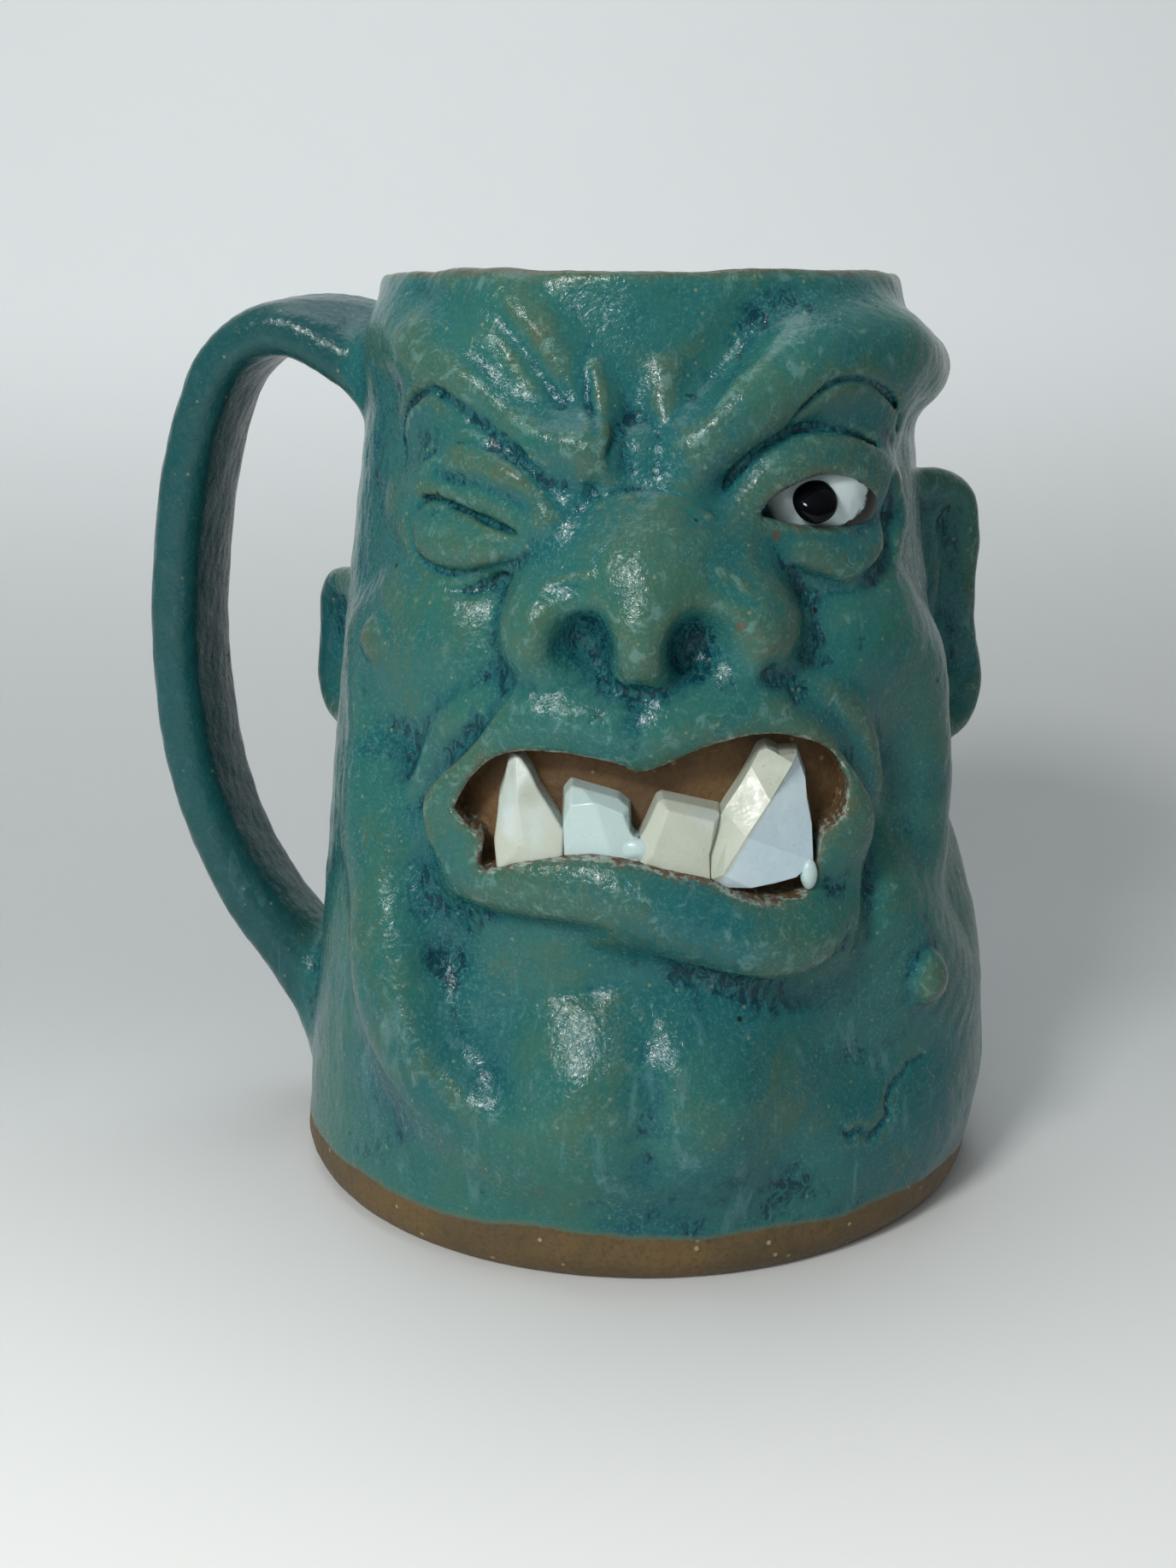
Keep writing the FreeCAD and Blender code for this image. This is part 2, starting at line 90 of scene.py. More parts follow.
def side(angle, z, proud=0.0):
    """The same from the angle round the wall, in degrees from the front, positive towards +X."""
    radius = float(wall(z)) + proud
    turn = math.radians(angle)
    return np.array((radius * math.sin(turn), -radius * math.cos(turn), z))


def knots(rows):
    """Rows of x, z, proud and radius, as centres and radii."""
    return [(*front(x, z, proud), radius) for x, z, proud, radius in rows]


def side_knots(rows):
    """The same for rows of angle, height, proud and radius."""
    return [(*side(angle, z, proud), radius) for angle, z, proud, radius in rows]


def smooth_path(rows, steps=5):
    """Catmull-Rom points through rows of numbers."""
    k = np.array(rows, float)
    k = np.vstack((2 * k[0] - k[1], k, 2 * k[-1] - k[-2]))
    points = []
    for i in range(1, len(k) - 2):
        for t in np.linspace(0, 1, steps, endpoint=False):
            points.append(0.5 * (2 * k[i] + (k[i + 1] - k[i - 1]) * t
                                 + (2 * k[i - 1] - 5 * k[i] + 4 * k[i + 1] - k[i + 2]) * t ** 2
                                 + (3 * k[i] - k[i - 1] - 3 * k[i + 1] + k[i + 2]) * t ** 3))
    points.append(k[-2])
    return np.array(points)


# ---- the distance field ---------------------------------------------------------------------------------

class Clay:
    """Distances to the clay's surface on a grid, and which piece each point belongs to."""

    def __init__(self):
        self.size = np.ceil((HIGH - LOW) / VOXEL).astype(int) + 1
        self.axes = [(LOW[i] + VOXEL * np.arange(self.size[i])).astype(np.float32) for i in range(3)]
        self.field = np.full(self.size, FAR, np.float32)
        self.owner = np.zeros(self.size, np.uint8)

    def block(self, low, high):
        """The slices of the grid that hold a box, and the coordinates in them."""
        first = np.clip(np.floor((np.asarray(low) - LOW) / VOXEL), 0, self.size - 1).astype(int)
        last = np.clip(np.ceil((np.asarray(high) - LOW) / VOXEL) + 1, first + 1, self.size).astype(int)
        cut = tuple(slice(a, b) for a, b in zip(first, last))
        return cut, (self.axes[0][cut[0]][:, None, None], self.axes[1][cut[1]][None, :, None],
                     self.axes[2][cut[2]][None, None, :])

    def lay(self, cut, shape, owner, blend, carve):
        """Joins a shape to the clay, or carves it out, with a smooth fillet as wide as the blend."""
        old = self.field[cut]
        sign = -1 if carve else 1
        changed = -shape > old if carve else shape < old
        gap = np.clip(blend - np.abs(sign * old - shape), 0, None)
        self.field[cut] = sign * (np.minimum(sign * old, shape) - gap * gap / (4 * blend))
        if owner is not None:
            self.owner[cut] = np.where(changed, OWNER[owner], self.owner[cut])

    def stand_off(self, place):
        """How far the clay's surface stands from the wall, straight out from the axis through a place."""
        angle, z = math.atan2(place[0], -place[1]), place[2]
        proud = np.arange(18, -4, -VOXEL / 2)
        radius = float(wall(z)) + proud
        line = np.stack((radius * math.sin(angle), -radius * math.cos(angle), 0 * radius + z), 1)
        index = np.clip(np.round((line - LOW) / VOXEL).astype(int), 0, self.size - 1)
        inside = self.field[tuple(index.T)]
        hit = np.argmax(inside < 0)
        return proud[hit] - inside[hit]

    def on_skin(self, rows, lift):
        """A smooth path of x, z and radius laid on the clay's surface, or as far over it as the lift says."""
        path = smooth_path(rows, 4)
        measured = np.array([self.stand_off(front(x, z)) for x, z, _ in path])
        proud = measured.copy()
        for _ in range(4):
            proud[1:-1] = (proud[:-2] + 2 * proud[1:-1] + proud[2:]) / 4
        proud = np.clip(proud, measured - 0.1, measured + 0.15)
        return np.array([(*front(x, z, p + lift), radius) for (x, z, radius), p in zip(path, proud)])

    def crease(self, depth, width, rows, blend=0.8):
        """A line pressed in with a tool, thin at its ends. Rows are x and z."""
        path = self.on_skin([(x, z, width) for x, z in rows], width - depth)
        steps = np.arange(len(path))
        fade = 1 - np.clip(np.minimum(steps, steps[::-1]) / 4, 0, 1)
        path[:, :2] *= (1 + fade * depth / np.hypot(path[:, 0], path[:, 1]))[:, None]
        path[:, 3] *= 1 - 0.6 * fade
        self.coil(None, blend, path, carve=True, steps=1)

    def welt(self, owner, lift, radius, rows, blend=1.5):
        """A raised line. Its rolls stand as far out of the clay as the lift says."""
        path = self.on_skin([(x, z, radius) for x, z in rows], lift - radius)
        path[[0, -1], 3] *= 0.5
        self.coil(owner, blend, path, steps=1)

    def bareness(self, points):
        """1 at places inside the mouth's outline, 0 outside, graded across its edge."""
        index = np.round((points - LOW) / VOXEL).astype(int) - self.bare_low
        held = ((index >= 0) & (index < self.bare.shape)).all(1)
        return np.where(held, self.bare[tuple(np.clip(index, 0, np.array(self.bare.shape) - 1).T)], 0)

    def sweep(self, owner, blend, line, reach, distance, carve=False):
        """Lays a path's segments as one shape. Each segment gives its distance to the offsets from its start."""
        cut, _ = self.block(line.min(0) - reach, line.max(0) + reach)
        shape = np.full([s.stop - s.start for s in cut], FAR, np.float32)
        for i, (a, b) in enumerate(zip(line[:-1], line[1:])):
            part, (x, y, z) = self.block(np.minimum(a, b) - reach, np.maximum(a, b) + reach)
            inner = tuple(slice(p.start - c.start, p.stop - c.start) for p, c in zip(part, cut))
            shape[inner] = np.minimum(shape[inner], distance(i, b - a, x - a[0], y - a[1], z - a[2]))
        self.lay(cut, shape, owner, blend, carve)

    def coil(self, owner, blend, rows, carve=False, steps=5):
        """A round-ended roll along a smooth path of centres and radii."""
        path = smooth_path(rows, steps)
        radius = path[:, 3]

        def distance(i, run, dx, dy, dz):
            along = np.clip((dx * run[0] + dy * run[1] + dz * run[2]) / (run @ run + TINY), 0, 1)
            away = (dx - along * run[0]) ** 2 + (dy - along * run[1]) ** 2 + (dz - along * run[2]) ** 2
            return np.sqrt(away) - (radius[i] + along * (radius[i + 1] - radius[i]))

        self.sweep(owner, blend, path[:, :3], radius.max() + blend + MARGIN, distance, carve)

    def roll(self, owner, blend, *rows):
        """A coil on the front, from rows of x, z, proud and radius."""
        self.coil(owner, blend, knots(rows))

    def pad(self, owner, blend, place, half, tilt=0.0, lean=0.0, carve=False):
        """A flattened ball, placed by x, z and proud. Half sizes run along the wall, out of it and up.

        Tilt turns it in the wall's plane, and lean tips it back.
        """
        centre = front(*place)
        angle = math.atan2(centre[0], -centre[1])
        along = Vector((math.cos(angle), math.sin(angle), 0))
        out = Vector((math.sin(angle), -math.cos(angle), 0))
        turn = Matrix.Rotation(math.radians(tilt), 3, out) @ Matrix.Rotation(math.radians(lean), 3, along)
        basis = [turn @ v for v in (along, out, Vector((0, 0, 1)))]
        reach = max(half) + blend + MARGIN
        cut, (x, y, z) = self.block(centre - reach, centre + reach)
        local = [(x - centre[0]) * v[0] + (y - centre[1]) * v[1] + (z - centre[2]) * v[2] for v in basis]
        near = np.sqrt(sum((c / h) ** 2 for c, h in zip(local, half)))
        slope = np.sqrt(sum((c / h ** 2) ** 2 for c, h in zip(local, half)))
        self.lay(cut, near * (near - 1) / (slope + 1e-6), owner, blend, carve)

    def window(self, owner, blend, angle, proud, floor, *outline):
        """Cuts a hole of an outline straight in, as seen from an angle, down to a floor over the wall."""
        turn = math.radians(angle)
        points = np.array([front(x, z, proud) for x, z in outline])
        seen = [(x * math.cos(turn) + y * math.sin(turn), z) for x, y, z in points]
        loop = smooth_path([*seen, seen[0]], 4)[:-1]
        reach = blend + 3
        cut, (x, y, z) = self.block(points.min(0) - (reach, 12, reach), points.max(0) + (reach, 14, reach))
        across = x * math.cos(turn) + y * math.sin(turn)
        away = np.full(np.broadcast_shapes(across.shape, z.shape), 99.0, np.float32)
        inside = np.zeros(away.shape, bool)
        for a, b in zip(loop, np.roll(loop, -1, 0)):
            run = b - a
            du, dv = across - a[0], z - a[1]
            along = np.clip((du * run[0] + dv * run[1]) / (run @ run + TINY), 0, 1)
            away = np.minimum(away, np.hypot(du - along * run[0], dv - along * run[1]))
            crosses = (z > a[1]) != (z > b[1])
            edge = a[0] + (z - a[1]) * run[0] / (run[1] if abs(run[1]) > TINY else TINY)
            inside ^= crosses & (across < edge)
        walls = np.where(inside, -away, away)
        bed = wall(z) + floor - np.hypot(x, y)
        old = self.field[cut]
        if owner:
            self.bare_low = np.array([p.start for p in cut])
            self.bare = np.broadcast_to(np.clip(0.5 - 0.6 * walls, 0, 1), old.shape)
            self.owner[cut] = np.where((bed > -2.5) & (walls < -0.2) & (bed > walls - 0.4) & (old < 2.5),
                                       OWNER[owner], self.owner[cut])
        self.lay(cut, np.broadcast_to(np.maximum(walls, bed), old.shape), None, blend, True)

    def strap(self, owner, blend, out, across, rows):
        """A flat strap. Rows are distance from the axis, height, half width, half thickness and twist."""
        path = smooth_path(rows, 4)
        line = path[:, 0:1] * out + path[:, 1:2] * np.array((0, 0, 1.0))

        def distance(i, run, dx, dy, dz):
            normal = np.cross(run, across)
            normal /= np.linalg.norm(normal)
            along = (dx * run[0] + dy * run[1] + dz * run[2]) / (run @ run)
            held = np.clip(along, 0, 1)
            past = (along - held) * np.linalg.norm(run)
            width, thick, twist = (path[i, k] + held * (path[i + 1, k] - path[i, k]) for k in (2, 3, 4))
            q = dx * across[0] + dy * across[1] + dz * across[2]
            n = dx * normal[0] + dy * normal[1] + dz * normal[2] - q * twist
            thick = thick * (1 - 0.22 * np.clip(q / width, -1, 1) ** 2)
            corner = thick * 0.8
            f = np.sqrt(np.clip(np.abs(n) - thick + corner, 0, None) ** 2
                        + np.clip(np.abs(q) - width + corner, 0, None) ** 2 + past ** 2) - corner
            return np.maximum(f, np.minimum(f, 0) + np.abs(past) - 0.2)

        self.sweep(owner, blend, line, path[:, 2].max() + blend + 2, distance)


def throw_pot(clay):
    """The vessel, solid for now."""
    _, (x, y, z) = clay.block(LOW, HIGH)
    outer = np.hypot(x, y) - wall(z).astype(np.float32)
    clay.field[:] = np.maximum(outer, np.maximum(z - HEIGHT, -z))


def hollow_pot(clay):
    """Cuts the cavity and rounds the rim."""
    corner, rim = 9, 2.4
    cut, (x, y, z) = clay.block(LOW, HIGH)
    side_gap, floor_gap = np.hypot(x, y) - inside_wall(z), FLOOR - z
    gap = np.clip(corner - np.abs(side_gap - floor_gap), 0, None)
    cavity = np.maximum(side_gap, floor_gap) + gap * gap / (4 * corner)
    top = z - HEIGHT + 0 * clay.field
    gap = np.clip(rim - np.abs(clay.field - top), 0, None)
    clay.field[:] = np.maximum(clay.field, top) + gap * gap / (4 * rim)
    clay.lay(cut, cavity.astype(np.float32), "mug_body", rim, True)


# ---- sculpting ------------------------------------------------------------------------------------------

def sculpt_masses(clay):
    """The broad swellings under the features."""
    clay.pad("upper_lip", 7, (1.2, 67, -5.4), (32, 9.4, 18))
    clay.pad("cheek_left", 8, (-27, 88, -3.2), (12, 6.5, 10))
    clay.roll("cheek_left", 7, (-36, 86, -4.6, 6), (-35.6, 74, -4, 6), (-35.6, 60, -4, 6))
    clay.pad("cheek_right", 7, (29, 87.4, -2.6), (12, 7.4, 10))
    clay.coil("cheek_right", 8, side_knots([(50, 92, -6.4, 8), (60, 82, -6.5, 9), (66, 69, -8, 8)]))
    clay.roll("cheek_right", 7, (37, 82, -4.4, 6), (39, 70, -4.2, 6), (40, 56, -4.6, 6))
    clay.roll("chin_left", 6, (-7.8, 33, -5, 5.4), (-7.8, 27.5, -0.4, 5.4), (-7.6, 22, -0.8, 5.4),
            (-7, 15, -4.8, 5))
    clay.roll("chin_right", 6, (9.6, 33, -4.8, 5.4), (9.7, 28, -0.2, 5.6), (10.2, 22.5, -0.8, 5.6),
            (11, 15, -4.8, 5))
    clay.pad("chin_left", 8, (-4, 25, -5.6), (15, 8.8, 13))
    clay.pad("chin_right", 8, (9, 25, -5.6), (15, 8.8, 13))
    clay.roll("jaw_fold_left", 9, (-34, 66, -4.4, 4.6), (-34.6, 56, -2.4, 5.6), (-34.8, 47, -0.2, 6.4),
            (-33.4, 38.5, 0.3, 6.6), (-29.4, 30.8, -0.6, 6.4), (-23.5, 24.8, -2.2, 5.6), (-16, 20, -4.6, 5))
    clay.crease(1.1, 2.8, [(-27, 50.5), (-26.6, 47.5), (-27.4, 42), (-25.4, 36.5), (-21.5, 32),
            (-17.6, 29)], 4.5)
    clay.coil("jowl_right", 9, side_knots([(46, 48, -6.2, 8), (58, 38, -7.2, 10.6), (72, 31, -7.8, 11.6),
            (84, 36, -7.6, 11), (92, 44, -8.4, 10)]))
    clay.coil("jowl_right", 9, side_knots([(36, 16, -8.8, 9), (58, 15, -8.6, 10.6), (80, 17, -8.8, 11)]))


def sculpt_brows(clay):
    """The brow ridges with their knob, and the folds of the frown."""
    clay.roll("brow_right", 7, (15, 131, -5.6, 6), (23, 131.4, -6.2, 7), (30, 129.4, -6.6, 6.4))
    clay.coil("brow_right", 4.8, [*knots([(5.2, 111.4, 0.6, 3), (7.8, 116, 1.6, 4.4), (12.4, 120.4, 2, 5.2),
            (18.6, 124.8, 2.2, 5.8), (26.5, 128, 2, 6.1), (34, 128.2, 1.4, 6.2)]),
            *side_knots([(72, 126.2, 0.4, 5.8), (86, 125.8, -0.6, 5.8), (104, 125.4, -3.2, 5),
            (120, 125.4, -5.5, 4)])])
    clay.coil("brow_left", 6, [*knots([(-22, 125.8, 0.2, 4.4), (-29.6, 129, -0.6, 4.6)]),
            *side_knots([(-56, 130.5, -1.8, 4.6), (-70, 129, -3.2, 4.6), (-84, 127, -5.2, 4.2)])])
    clay.roll("brow_left", 4.6, (-5.2, 112.4, 1.6, 3), (-7, 116, 2.2, 4.2), (-11.5, 118.2, 1.4, 4.4),
            (-17, 121, 1, 4.4), (-22, 124.8, 0.8, 4.4), (-27.6, 128.8, 0, 4.4))
    clay.roll("frown_fold_outer", 4.4, (-24, 138, -2.6, 2.6), (-20.8, 134.8, -1.4, 3.2),
            (-17.2, 129.6, -0.8, 3.2), (-13.6, 124.4, -0.8, 2.6))
    clay.roll("frown_fold_inner", 4.4, (-17.8, 137, -1.8, 2.6), (-14.8, 133, -0.8, 3),
            (-11.6, 129, -0.6, 2.8), (-8.6, 124.8, -1, 2.2))
    clay.roll("brow_right", 2.6, (3.2, 126, -1.4, 1.8), (3.6, 121, -0.2, 1.9), (4.6, 116, 0.4, 1.9))
    clay.roll("brow_left", 2, (-5, 127, -1.4, 1.6), (-4.2, 121.5, 0, 1.6), (-3.6, 116, 0.8, 1.4))
    clay.pad("brow_knob", 1.6, (0.4, 115.6, -0.2), (3.4, 3.2, 4))
    clay.crease(1.4, 2.4, [(6.4, 122.4), (9.8, 127), (12, 130.4), (15.2, 134.2), (19.8, 137.6)], 3.4)
    clay.crease(1.1, 1.4, [(-27.5, 132), (-21.5, 128), (-16.9, 124.4), (-12.1, 121.6), (-8.1, 120.6)], 2.6)
    clay.crease(1, 1, [(-19.6, 134.4), (-15.6, 130.2), (-12.1, 125), (-8.4, 121)], 2)
    clay.crease(0.9, 0.5, [(-4.4, 121.5), (-3.8, 117), (-3.4, 112)], 0.9)
    clay.welt("brow_left", 0.5, 0.8, [(-5.9, 127.6), (-5, 123), (-4.5, 117.4)], 1)
    clay.crease(1.2, 1.2, [(-8.4, 110.4), (-6.2, 111.2), (-4.4, 112.4)], 2)


def sculpt_open_eye(clay):
    """The socket, the lids round an almond opening, and the bag below."""
    clay.pad("open_upper_lid", 6, (27.5, 120, -2.2), (11, 6, 8))
    clay.pad("open_upper_lid", 3, (24.4, 110.6, -2.6), (12.8, 7.2, 7.6), tilt=-6)
    clay.roll("open_upper_lid", 3.2, (13, 106.4, 1.2, 2.2), (15.6, 110.6, 1.8, 2.8), (20.4, 114.2, 2.2, 3.2),
            (27, 115, 2, 3.2), (32.8, 112, 0.6, 2.8), (35.4, 107.6, -0.6, 2.2))
    clay.roll("open_lower_lid", 3.4, (13, 105.4, 0.4, 2), (18.8, 103.6, 1.2, 3), (25.2, 101.6, 1.4, 3.7),
            (31, 101, 0.8, 3.8), (35.2, 104.4, -1, 3))
    clay.window(None, 0.9, 33, 4, -1.5, (15.9, 107.6), (17.7, 110), (20.6, 111.8), (23.9, 113), (28.4, 112.4),
            (31, 110.7), (32.8, 108.3), (31.2, 106.7), (27.7, 106.1), (24.6, 106), (19.8, 106.9))
    clay.crease(0.55, 0.45, [(19.6, 119.4), (21.4, 122), (23.8, 124.2), (27, 125.4), (30.4, 125.2),
            (33.4, 123.6), (35.4, 121.2), (35.5, 118.2)], 0.9)
    clay.crease(0.6, 0.5, [(10.6, 107.2), (11, 110.2), (12.6, 113.4), (15.4, 116.2), (19, 118.4),
            (23.4, 119.2), (28.4, 118.2), (32.6, 115.6), (35.4, 112.2)], 1.1)
    clay.crease(0.8, 0.6, [(9.6, 105), (12, 103.7), (15.6, 102), (20.2, 100.3), (24.6, 98.9), (28.2, 97.2),
            (31, 96.9)], 1.4)
    clay.crease(0.8, 1.4, [(29.6, 97.6), (33.4, 98.8), (35.6, 102.6), (36, 106.6), (35.2, 111)], 2.2)
    clay.welt("open_lower_lid", 0.35, 0.6, [(16.2, 106.6), (20.2, 105.9), (24.8, 105.1), (29.2, 105)], 0.9)


def sculpt_wink(clay):
    """The closed eye: two swollen lids, the line between them and the wrinkles round them."""
    clay.pad(None, 6, (-25.5, 116.5, 7.8), (8.5, 4.5, 5.4), tilt=-4, carve=True)
    clay.roll("wink_upper_lid", 5, (-27, 119.5, -3.2, 5), (-20, 116.6, -1.7, 5), (-13.5, 112.8, -0.4, 4.6))
    clay.roll("wink_upper_lid", 4.5, (-31.6, 108, -2.2, 2.4), (-27.2, 110.8, -0.6, 3.4),
            (-21.8, 112.2, 0.9, 3.9), (-16.6, 110.8, 2, 3.9), (-12.4, 107.8, 2.4, 3))
    clay.roll("wink_lower_lid", 3, (-29.4, 104.2, -2, 3.4), (-25.2, 103.4, -0.4, 4.2), (-20.2, 103.2, 0.9, 4),
            (-15.4, 103.9, 1.6, 2.6))
    clay.crease(1.2, 0.55, [(-30.2, 107), (-29.2, 109), (-26.8, 109.4), (-24.3, 108.4), (-22, 107.6),
            (-18.8, 106.4), (-15.1, 105.3), (-11.6, 104.2)], 0.8)
    clay.crease(0.7, 0.6, [(-31.4, 106.2), (-31.2, 102.8), (-29.2, 100.2), (-25.2, 99.4), (-20.6, 100),
            (-16, 101.9), (-12.6, 103.6)], 1)
    clay.crease(0.8, 0.7, [(-26.6, 97.4), (-23.4, 97.3), (-19.8, 98.3), (-15.6, 100.2), (-11.4, 102.8),
            (-9, 105.4)], 1.2)
    clay.crease(0.6, 0.6, [(-22, 117), (-19, 116.6), (-15.4, 114.6), (-12.2, 111.8), (-10.2, 108.8),
            (-10.4, 105.8)], 1)
    clay.crease(0.6, 0.45, [(-32.8, 113.6), (-33, 117.6), (-31.6, 121.2), (-29, 123.4), (-26, 123.6)], 0.9)
    clay.crease(0.25, 0.6, [(-27.6, 124), (-23.4, 121.2), (-19.6, 118.6), (-15.6, 115.6), (-11.4, 112),
            (-9.2, 108.8)], 1.4)
    clay.crease(0.5, 1.2, [(-27.6, 112.7), (-24.3, 112.3), (-21.3, 111.7), (-16.7, 109.9), (-14, 108.4)], 2)
    clay.crease(0.9, 0.35, [(-28.8, 114.5), (-25.4, 116.3), (-21.7, 117.4)], 0.6)


def sculpt_nose(clay):
    """A broad dome over two soft hollows, with a wing outside each and the tip between them."""
    clay.pad("nose", 6, (1, 101.4, -1.6), (14, 8.8, 9.4))
    clay.roll("nose", 5, (0.8, 106, -0.8, 4.4), (0.9, 102, 0.4, 6.6), (1, 97.6, 3.6, 6.6), (1, 94.2, 6.4, 6),
            (0.9, 92, 6.6, 5.8))
    clay.roll("nose", 5, (-9.8, 97.6, 1.6, 4.4), (1, 99.6, 3.8, 5.8), (12, 98.4, 1.8, 4.8))
    clay.pad("nostril_left", 3.6, (-11.4, 92.8, 2.6), (7, 7.6, 7.6))
    clay.pad("nostril_right", 4, (13.6, 93.2, 1.6), (8.6, 8.2, 7.8))
    for blend, place, half, lean in ((4, (-8.2, 91.2, 11.7), (4.2, 5.6, 4.4), -14),
                                     (4, (9.6, 91.2, 11.6), (5.2, 5.6, 4.2), -14),
                                     (3, (-7.4, 92.2, 8.6), (2.6, 4.6, 2.8), -24),
                                     (3, (8.4, 92.4, 8.6), (3.2, 4.6, 2.8), -24)):
        clay.pad(None, blend, place, half, lean=lean, carve=True)
    clay.crease(0.8, 0.8, [(-8.8, 109), (-5.2, 110.4), (-0.8, 111.3), (4, 110.9), (8, 109.4)], 1.6)
    clay.welt("nose", 0.4, 0.7, [(-6.4, 109), (-2.2, 110.1), (2.6, 110.2), (6.8, 109.2), (9.4, 107.6)], 1)
    clay.welt("nostril_left", 0.4, 0.6, [(-5.6, 101.4), (-10.8, 99.8), (-15.2, 97), (-17.8, 93.2)], 0.8)
    clay.welt("nostril_right", 0.45, 0.6, [(9.8, 101.6), (13, 99.8), (16, 97.2), (17.8, 94.8)], 0.8)


def sculpt_mouth(clay):
    """The lips, the open mouth between them, and the folds round it."""
    clay.roll("upper_lip", 4.2, (-24.4, 58.6, -2.2, 3.2), (-26.4, 64.5, -1.6, 3.4), (-25.8, 70.6, 0, 3.9),
            (-21.6, 76.6, 1.8, 4.6), (-15.4, 80.4, 2.8, 5), (-8, 81.4, 3.4, 5), (-0.2, 80, 3.8, 4.8),
            (7.6, 81.6, 3.6, 4.8), (15.6, 83, 2.8, 4.8), (23, 81, 2, 4.6), (28.4, 76.2, 0.8, 4.2),
            (30.4, 69.8, -0.6, 3.8), (29, 63.2, -1.2, 3.6), (27.4, 58, -1.8, 3.2))
    clay.roll("lower_lip", 6, (-23.4, 58.6, -2, 2.8), (-18, 58.2, 0.4, 4.2), (-9, 58.6, 2, 5.2),
            (0, 57.2, 3, 6), (9, 54.6, 3.4, 6.2), (16.6, 51.4, 3.4, 6.2), (23.2, 50.2, 2.2, 5.4),
            (28.8, 51, -0.2, 3.4))
    clay.window("gum_bed", 1, 2, 6, 0.7, (-24.8, 68.6), (-23.1, 71.8), (-21.2, 74.1), (-18.7, 76.2),
            (-14.9, 77.3), (-9.9, 77.2), (-5.6, 76.6), (-2.4, 75.9), (0.4, 74.7), (2.9, 75.3), (6.4, 77),
            (9.9, 78.4), (13.6, 79.2), (17.1, 79.4), (20.6, 79), (24.6, 77.5), (27, 75.3), (28.6, 72.4),
            (28.7, 69.4), (27.6, 66.8), (25.2, 65.4), (24.8, 61.6), (23.6, 57.6), (19.1, 57), (14.7, 58.2),
            (10, 60.4), (4.6, 61.8), (-0.4, 63), (-6.1, 63.8), (-11.9, 63.1), (-16.4, 62), (-21, 60.6),
            (-20.6, 65), (-22.6, 66.3))
    clay.coil(None, 2.2, knots([(0.3, 85.2, 8.8, 1), (-0.2, 81.4, 9.8, 1.1), (0.2, 77.2, 10, 1)]), carve=True)
    clay.crease(1.3, 0.5, [(-19.6, 82.4), (-22.6, 79), (-25.8, 75.2), (-28.2, 71), (-29.2, 66.6)], 0.9)
    clay.crease(0.8, 2, [(-18.4, 85), (-22.8, 80.4), (-28, 74), (-30.6, 67), (-31.4, 60)], 3.4)
    clay.crease(0.5, 2.4, [(-31.2, 66), (-31.4, 58.5), (-30, 52), (-27.5, 46)], 5)
    clay.crease(0.7, 2, [(18.6, 87.2), (23, 84.6), (27.6, 80.6), (31.2, 75.4), (33.4, 68.6), (34.8, 60),
            (34.4, 51), (33, 45.6)], 3)
    clay.crease(0.6, 0.5, [(24.4, 83.4), (28.4, 79.4), (31.2, 74.4), (32.6, 69.4)], 1)
    clay.crease(0.35, 1.6, [(-24.4, 53), (-20.6, 52), (-16.8, 51.6), (-11, 51.6), (-6, 52.4)], 3.4)
    clay.crease(0.7, 1.6, [(6, 46.6), (12, 45.2), (18.4, 43.8), (25.2, 45), (29.4, 47.8)], 3.4)
    clay.crease(0.25, 1.2, [(-10, 43), (-6.4, 43.6), (-3, 45.2)], 2.4)
    clay.crease(0.8, 1.8, [(1.4, 37.5), (1.6, 31), (1.9, 25), (1.9, 19)], 4)


def sculpt_lumps(clay):
    """Two warts, and a crooked scratch on the jaw."""
    for name, x, z, half in (("wart_cheek", -37, 88.8, (2.8, 2, 2.8)), ("wart_jaw", 43.1, 39.4, (3.4, 2.6, 3.8))):
        clay.pad(name, 2, (x, z, clay.stand_off(front(x, z)) - 0.3), half)
    clay.crease(0.8, 0.5, [(28.8, 22.4), (30.6, 19.6), (32.6, 19.9), (34.6, 18.4), (36.4, 19.6), (37.3, 20.6),
            (37, 22.2), (38.1, 24.2), (40, 25.2), (40.8, 26.4), (43.2, 26.6), (44.6, 28.2)], 0.6)


def sculpt_handle(clay):
    """The strap handle, turned a little towards the back."""
    turn = math.radians(10)
    out = np.array((-math.cos(turn), math.sin(turn), 0))
    across = np.array((math.sin(turn), math.cos(turn), 0))
    clay.strap("handle", 4.5, out, across, [(38, 126, 11.5, 5.2, -0.30), (46.5, 130.2, 10.8, 4.6, -0.24),
            (54, 131.9, 10.2, 4.4, -0.12), (61, 129.9, 9.9, 4.3, -0.03), (66.6, 124.4, 9.8, 4.3, 0),
            (70.4, 115.6, 9.7, 4.3, 0), (73.2, 105, 9.6, 4.4, 0), (75, 93, 9.6, 4.4, 0),
            (75.8, 80, 9.5, 4.4, 0), (75.2, 67.5, 9.4, 4.5, 0), (73.2, 56, 9.3, 4.5, 0),
            (69.6, 45.6, 9.2, 4.6, 0), (64.8, 36.8, 9.2, 4.7, 0), (59.4, 29.6, 9.4, 5, 0),
            (54, 22.4, 10, 5.6, 0), (50, 14.6, 11, 5.6, 0)])


